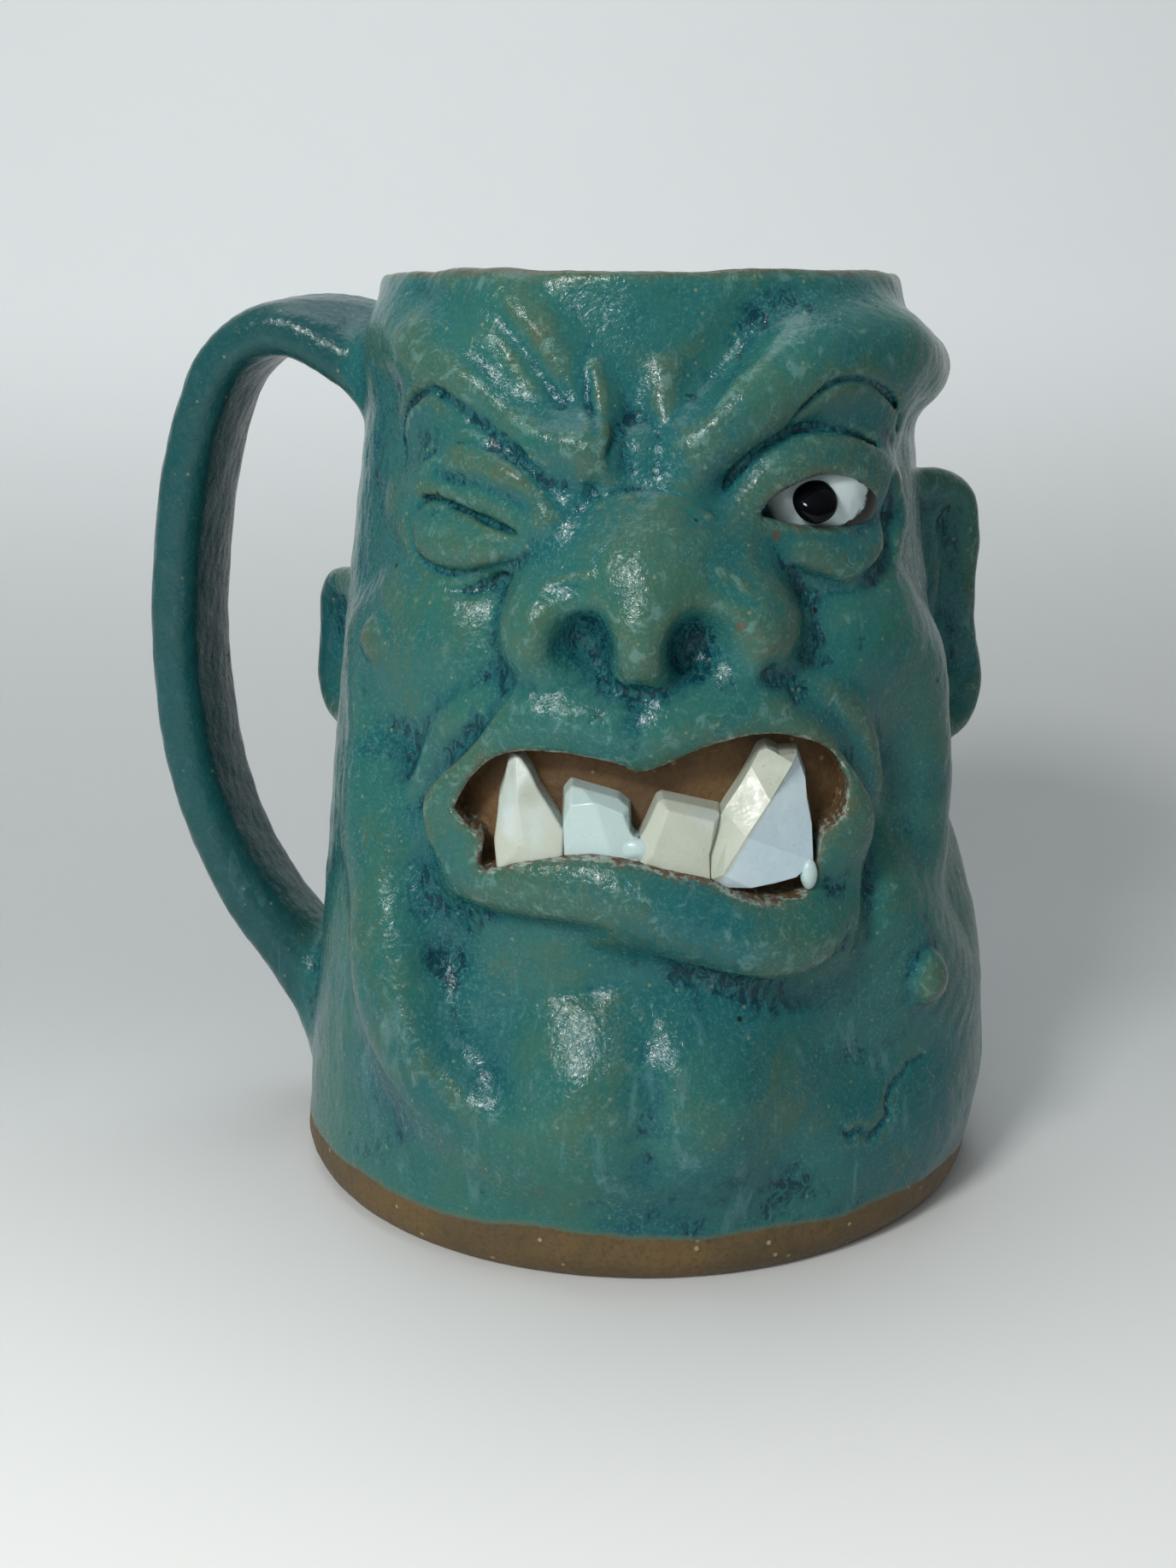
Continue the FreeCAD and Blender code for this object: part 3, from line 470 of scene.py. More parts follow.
def ear(clay, owner, root, angle, hand, rim, hollow):
    """An ear flap: a rolled rim round a thin plate with a hollow. Places are reach and height in its plane."""
    turn = math.radians(angle)
    along = np.array((hand * math.cos(turn), math.sin(turn), 0))
    face = np.array((hand * math.sin(turn), -math.cos(turn), 0))

    def place(reach, z, lift=0):
        return root + along * reach + face * lift + np.array((0, 0, z))

    low, high = min(z for _, z, _ in rim), max(z for _, z, _ in rim)
    for z in np.arange(low + 1, high - 0.5, 1.6):
        reach = np.interp(z, *np.array(sorted((z, r) for r, z, _ in rim if r > 5)).T)
        clay.coil(owner, 1.6, [(*place(-4, z, -0.5), 1.9), (*place(reach, z, -0.5), 1.7)], steps=1)
    clay.coil(owner, 2, [(*place(r, z), radius) for r, z, radius in rim])
    clay.coil(None, 2.4, [(*place(r, z, lift), radius) for r, z, lift, radius in hollow], carve=True)


def sculpt_ears(clay):
    """Both ears, on the side walls."""
    ear(clay, "ear_right", np.array((42, 3, 0)), 42, 1, [(-1, 107, 2.4), (7, 107.6, 2.2), (13.2, 105, 2.3),
            (14.9, 99, 2.3), (14.8, 91, 2.2), (15.4, 83, 2.3), (17, 75.5, 2.8), (15.4, 69.4, 2.8),
            (9.5, 66.6, 2.4), (1, 66, 2)], [(8.5, 101, 3.4, 2.2), (10.4, 95, 3.6, 2.6), (10, 86, 3.6, 2.8),
            (10.5, 78, 3.4, 2.2)])
    ear(clay, "ear_left", np.array((-43.5, 2, 0)), 58, -1, [(0, 92, 2), (8, 91.6, 2), (12.4, 88.6, 2.2),
            (13.4, 82, 2.2), (14, 76, 2.6), (12, 70.6, 2.6), (6, 68.6, 2.2), (0, 68.4, 2)],
            [(6.5, 87, 3.2, 1.8), (8, 81, 3.4, 2.2), (6.5, 75, 3.2, 1.8)])


def sculpt():
    clay = Clay()
    throw_pot(clay)
    sculpt_masses(clay)
    sculpt_brows(clay)
    sculpt_wink(clay)
    sculpt_open_eye(clay)
    sculpt_nose(clay)
    sculpt_mouth(clay)
    sculpt_lumps(clay)
    sculpt_handle(clay)
    sculpt_ears(clay)
    hollow_pot(clay)
    return clay


# ---- from the field to meshes ---------------------------------------------------------------------------

def waves(points, length, count=7):
    """Smooth random lumps of about a given length, from a few crossed waves. About -1 to 1."""
    total = np.zeros(len(points))
    for _ in range(count):
        way = random.normal(size=3)
        way *= 2 * math.pi / (length * np.linalg.norm(way) * random.uniform(0.7, 1.4))
        total += np.sin(points @ way + random.uniform(0, 6.28))
    return total / math.sqrt(count)


def sides_of(quads):
    """The directed sides of all quads."""
    return np.concatenate([quads[:, [i, (i + 1) % 4]] for i in range(4)])


def boundary(quads):
    """The directed sides that only one quad uses."""
    pairs = sides_of(quads)
    top = pairs.max() + 1
    keys, twins = pairs[:, 0] * top + pairs[:, 1], pairs[:, 1] * top + pairs[:, 0]
    return pairs[~np.isin(keys, twins)]


class Skin:
    """The clay's surface: points in millimetres, quads, and the piece that owns each quad."""

    def __init__(self, clay):
        grid = openvdb.FloatGrid()
        grid.background = 3.0
        grid.copyFromArray(np.clip(clay.field, -3, 3).astype(float))
        points, quads = grid.convertToQuads(isovalue=0.0)
        self.points = points.astype(float) * VOXEL + LOW
        self.quads = quads.astype(np.int64)
        self.orient()
        self.points = self.smoothed(0.35, 2)
        at = self.points[self.quads].mean(1) - self.face_normals() * 0.4
        index = np.clip(np.round((at - LOW) / VOXEL).astype(int), 0, clay.size - 1)
        self.owner = clay.owner[tuple(index.T)]
        self.settle_owners()

    def face_normals(self):
        a, b, c, d = (self.points[self.quads[:, i]] for i in range(4))
        normals = np.cross(c - a, d - b)
        return normals / (np.linalg.norm(normals, axis=1, keepdims=True) + 1e-12)

    def orient(self):
        """Turns every quad outwards, from the sign of the whole volume."""
        a, b, c, d = (self.points[self.quads[:, i]] for i in range(4))
        if (a * (np.cross(b, c) + np.cross(c, d))).sum() < 0:
            self.quads = self.quads[:, ::-1].copy()

    def smoothed(self, strength, rounds):
        """The points after each has moved some rounds towards the mean of its neighbours."""
        a, b = np.unique(np.sort(sides_of(self.quads), 1), axis=0).T
        n = len(self.points)
        near = np.bincount(a, minlength=n) + np.bincount(b, minlength=n)
        points = self.points.copy()
        for _ in range(rounds):
            total = np.stack([np.bincount(a, points[b, i], n) + np.bincount(b, points[a, i], n)
                              for i in range(3)], 1)
            points += strength * (total / near[:, None] - points)
        return points

    def vertex_normals(self):
        """The mean of the normals round each point."""
        faces = self.face_normals()
        n = len(self.points)
        total = np.stack([sum(np.bincount(self.quads[:, k], faces[:, i], n) for k in range(4))
                          for i in range(3)], 1)
        return total / (np.linalg.norm(total, axis=1, keepdims=True) + 1e-12)

    def settle_owners(self):
        """Gives stray quads to the piece that most of their corners' quads belong to."""
        n = len(self.points)
        for _ in range(6):
            counts = np.zeros((n, len(PIECES)), np.int32)
            for k in range(4):
                np.add.at(counts, (self.quads[:, k], self.owner), 1)
            votes = sum(counts[self.quads[:, k]] for k in range(4))
            self.owner = votes.argmax(1)

    def roughen(self):
        """The small unevenness of hand-made work. The foot stays flat."""
        normals = self.vertex_normals()
        lift = 0.12 * waves(self.points, 21) + 0.06 * waves(self.points, 7) + 0.03 * waves(self.points, 2.6)
        lift *= np.clip(self.points[:, 2] / 3, 0, 1)
        self.points += normals * lift[:, None]
        self.points[:, 2] = np.maximum(self.points[:, 2], 0)

    def hollowness(self, rounds):
        """How far the surface lies below its own smoothed form, in millimetres: positive in creases."""
        return ((self.smoothed(0.5, rounds) - self.points) * self.vertex_normals()).sum(1)


def link(name, data):
    """Puts an object of that data in the scene."""
    thing = bpy.data.objects.new(name, data)
    bpy.context.scene.collection.objects.link(thing)
    return thing


def add_layer(mesh, name, numbers):
    """A number at each point, for the material to read."""
    mesh.attributes.new(name, "FLOAT", "POINT").data.foreach_set("value", numbers.astype(np.float32))


def new_mesh(name, points, faces, normals=None, layers=None):
    """A smooth object from points in millimetres and arrays of quads."""
    mesh = bpy.data.meshes.new(name)
    mesh.from_pydata([], [], [])
    corners = np.concatenate([np.asarray(f).ravel() for f in faces])
    sizes = np.concatenate([np.full(len(f), f.shape[1]) for f in faces])
    mesh.vertices.add(len(points))
    mesh.vertices.foreach_set("co", (points / 1000).astype(np.float32).ravel())
    mesh.loops.add(len(corners))
    mesh.loops.foreach_set("vertex_index", corners.astype(np.int32))
    mesh.polygons.add(len(sizes))
    mesh.polygons.foreach_set("loop_start", (np.cumsum(sizes) - sizes).astype(np.int32))
    mesh.polygons.foreach_set("loop_total", sizes.astype(np.int32))
    mesh.update(calc_edges=True)
    mesh.shade_smooth()
    for layer, numbers in (layers or {}).items():
        add_layer(mesh, layer, numbers)
    if normals is not None:
        mesh.normals_split_custom_set_from_vertices(normals.tolist())
    return link(name, mesh)


def cut_pieces(skin, layers, finish):
    """Makes each piece a closed solid: its own skin, a back pressed on the wall, and the sides between."""
    points, normals = skin.points, skin.vertex_normals()
    n = len(points)
    rho = np.hypot(points[:, 0], points[:, 1])
    back = points.copy()
    back[:, :2] *= (np.minimum(wall(points[:, 2]) - BACK_SINK, rho - THINNEST) / np.maximum(rho, 1e-6))[:, None]
    points, normals = np.concatenate((points, back)), np.concatenate((normals, normals))
    layers = {name: np.concatenate((numbers, numbers)) for name, numbers in layers.items()}
    applied = ~np.isin(skin.owner, [OWNER[name] for name in ("mug_body", *WHOLE)])
    for number, name in enumerate(PIECES):
        own = skin.quads[skin.owner == number]
        faces, edge = [own], boundary(own)
        if name == "mug_body":
            faces.append(skin.quads[applied] + n)
            rim = boundary(skin.quads[applied])
            rim = rim[np.isin(rim[:, 1] * n + rim[:, 0], edge[:, 0] * n + edge[:, 1])]
            faces.append(np.stack((rim[:, 1] + n, rim[:, 0] + n, rim[:, 0], rim[:, 1]), 1))
        elif name not in WHOLE:
            faces.append(own[:, ::-1] + n)
            faces.append(np.stack((edge[:, 1], edge[:, 0], edge[:, 0] + n, edge[:, 1] + n), 1))
        used, compact = np.unique(np.concatenate([f.ravel() for f in faces]), return_inverse=True)
        starts = np.cumsum([0] + [f.size for f in faces])
        faces = [compact[a:b].reshape(-1, 4) for a, b in zip(starts[:-1], starts[1:])]
        piece = new_mesh(name + "_clay", points[used], faces, normals[used],
                         {layer: numbers[used] for layer, numbers in layers.items()})
        finish(piece, name)


# ---- materials ------------------------------------------------------------------------------------------

class Nodes:
    """A short way to write a node tree."""

    def __init__(self, name):
        self.material = bpy.data.materials.new(name)
        self.material.use_nodes = True
        self.tree = self.material.node_tree
        self.tree.nodes.clear()
        self.place = self.add("ShaderNodeTexCoord").outputs["Object"]

    def add(self, kind, **settings):
        node = self.tree.nodes.new(kind)
        for key, value in settings.items():
            setattr(node, key, value)
        return node

    def link(self, value, socket):
        if isinstance(value, bpy.types.NodeSocket):
            self.tree.links.new(value, socket)
        else:
            socket.default_value = value

    def noise(self, scale, detail=3.0, rough=0.55, stretch=(1, 1, 1), warp=0.0):
        """Cloudy noise between 0 and 1."""
        node = self.add("ShaderNodeTexNoise")
        mapping = self.add("ShaderNodeMapping")
        self.link(self.place, mapping.inputs["Vector"])
        mapping.inputs["Scale"].default_value = stretch
        self.link(mapping.outputs[0], node.inputs["Vector"])
        node.inputs["Scale"].default_value = scale
        node.inputs["Detail"].default_value = detail
        node.inputs["Roughness"].default_value = rough
        node.inputs["Distortion"].default_value = warp
        return node.outputs["Fac"]

    def spots(self, scale, size):
        """1 in round specks, 0 elsewhere."""
        node = self.add("ShaderNodeTexVoronoi")
        self.link(self.place, node.inputs["Vector"])
        node.inputs["Scale"].default_value = scale
        return self.span(node.outputs["Distance"], size, size * 0.55, 0, 1)

    def span(self, value, low, high, to_low=0.0, to_high=1.0):
        """Maps a range to another, held at both ends."""
        node = self.add("ShaderNodeMapRange", interpolation_type="SMOOTHSTEP")
        self.link(value, node.inputs["Value"])
        for key, number in (("From Min", low), ("From Max", high), ("To Min", to_low), ("To Max", to_high)):
            node.inputs[key].default_value = number
        return node.outputs[0]

    def math(self, operation, a, b=0.0):
        node = self.add("ShaderNodeMath", operation=operation)
        self.link(a, node.inputs[0])
        self.link(b, node.inputs[1])
        return node.outputs[0]

    def plus(self, a, b):
        return self.math("ADD", a, b)

    def times(self, a, b):
        return self.math("MULTIPLY", a, b)

    def uneven(self, width, *noise, **settings):
        """Noise round 0, of about a given width."""
        return self.times(self.math("SUBTRACT", self.noise(*noise, **settings), 0.5), width)

    def mix(self, share, a, b):
        node = self.add("ShaderNodeMix", data_type="RGBA")
        self.link(share, node.inputs[0])
        self.link(a, node.inputs[6])
        self.link(b, node.inputs[7])
        return node.outputs[2]

    def blotches(self, scale, detail, rough, low, high, one, other):
        """Two colours in soft blotches."""
        return self.mix(self.span(self.noise(scale, detail, rough), low, high), rgb(*one), rgb(*other))

    def coat(self, colour, *coats):
        """Lays colours one over the other, each by its share."""
        for share, shade in coats:
            colour = self.mix(share, colour, rgb(*shade))
        return colour

    def layer(self, name):
        return self.add("ShaderNodeAttribute", attribute_name=name).outputs["Fac"]

    def coordinates(self):
        node = self.add("ShaderNodeSeparateXYZ")
        self.link(self.place, node.inputs[0])
        return node.outputs

    def bump(self, height, distance, strength):
        node = self.add("ShaderNodeBump")
        node.inputs["Strength"].default_value = strength
        node.inputs["Distance"].default_value = distance
        self.link(height, node.inputs["Height"])
        return node.outputs[0]

    def shade(self, colour, roughness, normal, **constants):
        shader = self.add("ShaderNodeBsdfPrincipled")
        self.link(colour, shader.inputs["Base Color"])
        self.link(roughness, shader.inputs["Roughness"])
        if normal is not None:
            self.link(normal, shader.inputs["Normal"])
        for key, number in constants.items():
            shader.inputs[key.replace("_", " ")].default_value = number
        out = self.add("ShaderNodeOutputMaterial")
        self.link(shader.outputs[0], out.inputs["Surface"])
        return self.material


def rgb(red, green, blue):
    """A colour given as 0 to 255 on screen."""
    return (*[((v / 255 + 0.055) / 1.055) ** 2.4 if v > 10 else v / 255 / 12.92 for v in (red, green, blue)], 1.0)


def glaze_material():
    """Satin teal glaze over brown stoneware: blue and grainy in hollows, olive on ridges, bare at the foot. Pale
    flecks on ridges are a painted highlight, and the handle is darkened with painted shade.
    """
    m = Nodes("teal_glaze")
    span, noise, spots, plus, times = m.span, m.noise, m.spots, m.plus, m.times
    pool, bulk, bare_mark = m.layer("pool"), m.layer("bulk"), m.layer("bare")
    x, y, z = m.coordinates()
    hollow = m.math("MINIMUM", plus(times(pool, 5.0), times(bulk, 0.45)), 1.15)
    depth = plus(hollow, m.uneven(3.4, 48, 5, 0.62, warp=0.7))
    thick, thin = span(depth, 0.0, 0.9), span(depth, -0.05, -0.85)
    clumps = span(plus(depth, times(noise(150, 3, 0.6), 2.4)), 1.55, 2.05)
    brown = times(span(depth, -0.75, -1.5), span(noise(260, 3, 0.6), 0.35, 0.6))
    grain = noise(1900, 3, 0.65, warp=0.6)
    pale = times(span(grain, 0.50, 0.66), span(noise(120, 3, 0.6), 0.35, 0.65, 0.06, 0.34))
    deep = times(span(grain, 0.52, 0.40), span(thick, 0, 1, 0.10, 0.5))
    flecks = times(span(noise(640, 4, 0.7, (1, 1, 0.6), 1.4), 0.49, 0.56), clumps)
    # Pale flecks on ridges and crease edges: a painted highlight where the satin glaze catches the light.
    painted_ridge_highlight = times(span(pool, -0.015, -0.07), span(noise(420, 4, 0.7, warp=0.8), 0.52, 0.64))
    # How far a point lies out past the wall. The handle out there is darkened as painted shade.
    handle_shade_reach = m.math("SUBTRACT", x, times(z, 0.112))
    wisps = times(span(noise(240, 4, 0.7, (1, 1, 0.22), 0.8), 0.56, 0.70), span(z, 0.055, 0.035))
    rust = times(spots(95, 0.10), span(noise(60, 2), 0.55, 0.62))
    rim = span(plus(z, times(noise(170, 3), 0.003)), 0.1400, 0.1412)
    glaze = m.coat(
        m.blotches(30, 4, 0.6, 0.35, 0.65, (44, 98, 89), (30, 89, 92)),
        (times(thick, 0.75), (16, 80, 90)), (times(thin, 0.5), (72, 94, 68)), (times(brown, 0.5), (88, 82, 58)),
        (pale, (84, 134, 132)), (deep, (10, 60, 70)), (times(flecks, 0.9), (4, 46, 56)),
        (times(painted_ridge_highlight, 0.28), (116, 160, 158)), (span(handle_shade_reach, -0.056, -0.062, 0, 0.8), (18, 68, 74)),
        (times(wisps, 0.24), (108, 150, 156)), (times(spots(330, 0.11), 0.5), (126, 138, 104)),
        (times(rust, 0.75), (98, 58, 40)), (times(spots(70, 0.035), 0.9), (20, 22, 20)),
        (times(rim, 0.75), (76, 72, 54)))

    def fired(scale, one, other, pores, grog, grog_share):
        return m.coat(m.blotches(scale, 4, 0.6, 0.35, 0.65, one, other),
                      (span(noise(1300, 3, 0.7), 0.45, 0.68, 0, 0.4), pores),
                      (times(spots(300, 0.13), grog_share), grog))

    clay = m.mix(bare_mark, fired(70, (84, 72, 50), (98, 80, 52), (58, 48, 34), (160, 142, 108), 0.8),
                 fired(120, (86, 67, 46), (102, 79, 52), (68, 48, 34), (154, 126, 90), 0.7))
    radius = m.math("SQRT", plus(times(x, x), times(y, y)))
    in_cavity = times(span(radius, 0.0515, 0.0505), span(z, 0.004, 0.005))
    line = plus(plus(plus(z, m.uneven(0.0045, 42, 3, 0.5, (1, 1, 0))), times(noise(600, 3, 0.6), 0.0006)),
                times(in_cavity, 0.01))
    torn = plus(bare_mark, m.uneven(0.9, 420, 4, 0.7))
    bare = m.math("MAXIMUM", span(line, 0.0077, 0.0073), span(torn, 0.42, 0.52))
    rolled = m.blotches(500, 3, 0.7, 0.42, 0.58, (100, 68, 54), (150, 162, 154))
    glaze = m.mix(times(span(torn, 0.14, 0.36), 0.75), glaze, rolled)
    glaze = m.coat(glaze, (times(span(line, 0.0086, 0.0077), 0.8), (78, 94, 80)))
    relief = plus(times(noise(1100, 3, 0.65, warp=0.5), 0.9), times(noise(230, 3, 0.6), 1.2))
    relief = m.math("SUBTRACT", relief, times(flecks, 0.5))
    rough = plus(span(grain, 0.44, 0.68, 0.13, 0.30), times(bare, 0.36))
    return m.shade(m.mix(bare, glaze, clay), rough, m.bump(relief, 0.00026, 0.6), IOR=1.42,
                   Specular_IOR_Level=0.32)


def porcelain_material(name):
    """Thick white glaze. The broken tusk is cream left of its ridge and bluish right of it."""
    m = Nodes(name)
    cream = m.blotches(110, 3, 0.5, 0.35, 0.7, (180, 188, 175), (167, 174, 160))
    white = m.blotches(90, 3, 0.5, 0.35, 0.7, (204, 222, 228), (186, 208, 218))
    x, _, z = m.coordinates()
    over_ridge = m.math("SUBTRACT", m.times(x, 0.84), m.times(z, 0.54))
    over_ridge = m.plus(over_ridge, m.times(m.noise(300, 2), 0.0006))
    colour = {"tooth_cream": m.mix(m.span(m.noise(70, 2), 0.55, 0.75), cream, white),
              "tooth_white": m.mix(m.span(m.noise(70, 2), 0.5, 0.8), rgb(174, 196, 195), cream),
              "tooth_broken": m.mix(m.span(over_ridge, -0.0232, -0.0222), cream, white)}[name]
    colour = m.coat(colour, (m.times(m.spots(420, 0.09), 0.5), (150, 132, 104)))
    height = m.plus(m.noise(240, 3, 0.6), m.times(m.noise(900, 2, 0.6), 0.25))
    rough = m.span(m.noise(300, 3, 0.6), 0.35, 0.65, 0.24, 0.40)
    return m.shade(colour, rough, m.bump(height, 0.0003, 0.4), IOR=1.5, Subsurface_Weight=0.08,
                   Subsurface_Scale=0.002)


def eye_material():
    """Grubby white glaze, near black towards the lids: partly staining, partly painted shade in the gap where the
    lids meet it.
    """
    m = Nodes("eye_white")
    colour = m.blotches(160, 3, 0.6, 0.35, 0.7, (190, 204, 206), (148, 164, 168))
    # Near black at the outline: partly staining, partly painted shade in the gap under the lids.
    lid_shade_and_staining = m.span(m.plus(m.layer("lid_shade_and_stain_reach"), m.uneven(0.4, 500, 4, 0.7)), 0.93, 1.0)
    return m.shade(m.coat(colour, (lid_shade_and_staining, (10, 8, 9))), m.span(m.noise(300, 3), 0.35, 0.65, 0.12, 0.26),
                   m.bump(m.noise(260, 3, 0.6), 0.00015, 0.4), IOR=1.5, Specular_IOR_Level=0.35)


def pupil_material():
    """Gloss black glaze."""
    m = Nodes("pupil_black")
    return m.shade(m.blotches(300, 3, 0.55, 0.4, 0.7, (3, 4, 7), (8, 10, 14)),
                   m.span(m.noise(500, 3), 0.35, 0.65, 0.02, 0.05), m.bump(m.noise(300, 2), 0.0001, 0.25),
                   IOR=1.5, Specular_IOR_Level=0.12)


# ---- teeth and eye --------------------------------------------------------------------------------------

def shard(node, material, corners, facets):
    """A broken shard. Corners are x, z and stand-off; facets list the corners of each face, outline first."""
    outline, *faces = facets
    middle = np.mean([corners[i][:2] for i in outline], 0)
    tops = [front(*corner) for corner in corners]
    backs = [front(*(middle + (np.array(corners[i][:2]) - middle) * 1.06), 0.3) for i in outline]
    count, n = len(tops), len(outline)
    sides = [(outline[i], outline[(i + 1) % n], count + (i + 1) % n, count + i) for i in range(n)]
    mesh = bpy.data.meshes.new(node + "_shard")
    mesh.from_pydata([tuple(p / 1000) for p in tops + backs], [],
                     [*faces, *sides, tuple(range(count, count + n))])
    mesh.validate()
    piece = link(mesh.name, mesh)
    bevel = piece.modifiers.new("worn_edges", "BEVEL")
    bevel.width, bevel.segments, bevel.harden_normals = 0.00045, 3, True
    bevel.limit_method, bevel.angle_limit = "ANGLE", math.radians(12)
    finish_piece(piece, node, material)
    fix_normals(piece)


def fix_normals(piece):
    """Turns all faces outwards."""
    work = bmesh.new()
    work.from_mesh(piece.data)
    bmesh.ops.recalc_face_normals(work, faces=work.faces)
    work.to_mesh(piece.data)
    work.free()
    piece.data.shade_smooth()


def ball(centre, half, rings=48, turns=96, angle=None, lean=0.0):
    """An ellipsoid with its sizes along the wall, out of it and up, leant back by some degrees."""
    angle = math.atan2(centre[0], -centre[1]) if angle is None else math.radians(angle)
    tip = math.radians(lean)
    out = np.array((math.sin(angle), -math.cos(angle), 0))
    basis = np.array(((math.cos(angle), math.sin(angle), 0), out * math.cos(tip) + (0, 0, math.sin(tip)),
                      (0, 0, math.cos(tip)) - out * math.sin(tip)))
    i, j = np.divmod(np.arange((rings + 1) * turns), turns)
    a, b = math.pi * i / rings, 2 * math.pi * j / turns
    points = centre + np.stack((np.sin(a) * np.cos(b), np.cos(a), np.sin(a) * np.sin(b)), 1) * half @ basis
    i, j = np.divmod(np.arange(rings * turns), turns)
    here, beside = i * turns + j, i * turns + (j + 1) % turns
    return points, np.stack((here, beside, beside + turns, here + turns), 1)


def bead(name, node, slot, material, place, half, lumps, length, **shape):
    """A ball of glaze made a little uneven by random lumps. Gives its mesh and its points."""
    points, faces = ball(front(*place), half, **shape)
    points += waves(points, length)[:, None] * lumps
    piece = new_mesh(name, points, [faces])
    fix_normals(piece)
    finish_piece(piece, node, material)
    return piece.data, points


def finish_piece(piece, node, material):
    """Gives a piece its material, hangs it under the root body, and hides the model's part that it replaces."""
    piece.data.materials.append(material)
    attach(piece, "root")
    if node:
        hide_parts(node)


def make_teeth():
    """The four porcelain shards, and two beads of white glaze beside them."""
    cream, white, both = (porcelain_material(name) for name in ("tooth_cream", "tooth_white", "tooth_broken"))
    shards = [
        ("tusk_left", cream, [
            (-17.3, 75.5, 4.4), (-16.4, 76.4, 4.8), (-15.7, 76.2, 4.8), (-14.3, 74.4, 5), (-13.2, 72.1, 5),
            (-11.4, 69.4, 5), (-9.7, 66.6, 5), (-9.8, 63, 5.2), (-13.2, 61.8, 5.4), (-18.9, 60.4, 4.8),
            (-19.3, 64.4, 4.6), (-18.9, 67.4, 4.6), (-18.6, 70.4, 4.4), (-17.8, 73, 4.4), (-16.1, 71.2, 6.2),
            (-15.2, 65, 6.7), (-17, 67.4, 6.1)],
            [tuple(range(14)), (0, 1, 14, 13), (1, 2, 3, 14), (3, 4, 5, 14), (5, 15, 14), (5, 6, 7, 15), (7, 8, 15),
             (8, 9, 15), (9, 10, 16, 15), (10, 11, 16), (11, 12, 16), (12, 14, 16), (12, 13, 14), (14, 15, 16)]),
        ("incisor_left", white, [
            (-9.6, 71.3, 4), (-8.6, 72.6, 4), (-7.1, 72.2, 3.8), (-4.2, 71.5, 3.8), (-2.4, 71, 3.8),
            (-0.9, 69.8, 4.2), (-0.8, 66.8, 4.6), (-0.2, 66, 4.8), (0.4, 66, 4.8), (0.4, 61.8, 5.2),
            (-2.7, 62.2, 5.4), (-9.6, 62.6, 5), (-9.8, 67, 4.8), (-8.8, 70.2, 5.8), (-5.4, 70.7, 5.7),
            (-1.7, 69.2, 5.6)],
            [tuple(range(13)), (0, 1, 13), (1, 2, 14, 13), (2, 3, 14), (3, 4, 15, 14), (4, 5, 15), (5, 6, 15),
             (0, 13, 12), (12, 13, 14, 10, 11), (14, 15, 6, 10), (6, 7, 8, 9, 10)]),
        ("incisor_right", cream, [
            (1.4, 67.4, 4.8), (2.9, 70.7, 4.4), (3.6, 71.1, 4.2), (11, 69.3, 4.2), (11.3, 68.8, 4.6),
            (10.7, 66.2, 5), (9.9, 63.7, 5.4), (10.1, 59.4, 5.6), (4.8, 60.8, 5.6), (0.6, 61.8, 5.2),
            (0.6, 66, 4.8), (4.3, 69.9, 5.9), (10.5, 68.1, 5.9), (2.2, 64, 6.1)],
            [tuple(range(11)), (0, 1, 11), (0, 11, 13, 10), (1, 2, 11), (2, 3, 12, 11), (3, 4, 12), (4, 5, 6, 12),
             (11, 12, 6, 7), (11, 7, 8, 13), (13, 8, 9), (10, 13, 9)]),
        ("tusk_right", both, [
            (16.5, 77, 4.6), (17.5, 77.4, 4.8), (18.7, 76.8, 5.2), (19.2, 76.4, 5.4), (21.7, 76.3, 4.8),
            (22.3, 74.6, 4.6), (23, 72.7, 4.6), (23.2, 70.2, 4.8), (24, 66.4, 4.8), (24.3, 61.3, 5),
            (21.9, 59.6, 5.4), (18.9, 59.2, 5.6), (15.6, 58.9, 5.8), (12.4, 59.2, 5.8), (10.2, 60.4, 5.4),
            (9.9, 63.7, 4.4), (10.6, 66.2, 4.2), (11.3, 68.5, 4.2), (12.2, 70, 4.2), (14, 72.6, 4.2),
            (15.4, 75, 4.4), (21, 75.5, 6.4), (17.9, 70.9, 7.2), (14.7, 66.4, 7.6), (11.6, 61.4, 7.2),
            (12.9, 68.2, 5.6), (12.2, 65.6, 5.8)],
            [tuple(range(21)), (21, 4, 5, 22), (5, 6, 7, 22), (7, 8, 23, 22), (8, 9, 23), (23, 9, 10, 24),
             (10, 11, 12, 24), (12, 13, 24), (13, 14, 24), (3, 4, 21), (2, 3, 21), (0, 1, 2, 20), (20, 2, 21, 22),
             (19, 20, 22), (18, 19, 22, 25), (25, 22, 23), (25, 23, 26), (26, 23, 24), (26, 24, 14), (17, 18, 25),
             (16, 17, 25, 26), (15, 16, 26), (14, 15, 26)]),
    ]
    for name, material, corners, facets in shards:
        shard(name, material, corners, facets)
    for name, place, half in (("glaze_bead_middle", (0.4, 64, 4.4), (2.6, 1.1, 1.9)),
                              ("glaze_bead_right", (23.7, 59.6, 4.8), (1.2, 1.1, 2.2))):
        bead(name, None, "porcelain", white, place, half, (0.036, 0.12, 0.036), 3, rings=24, turns=40)


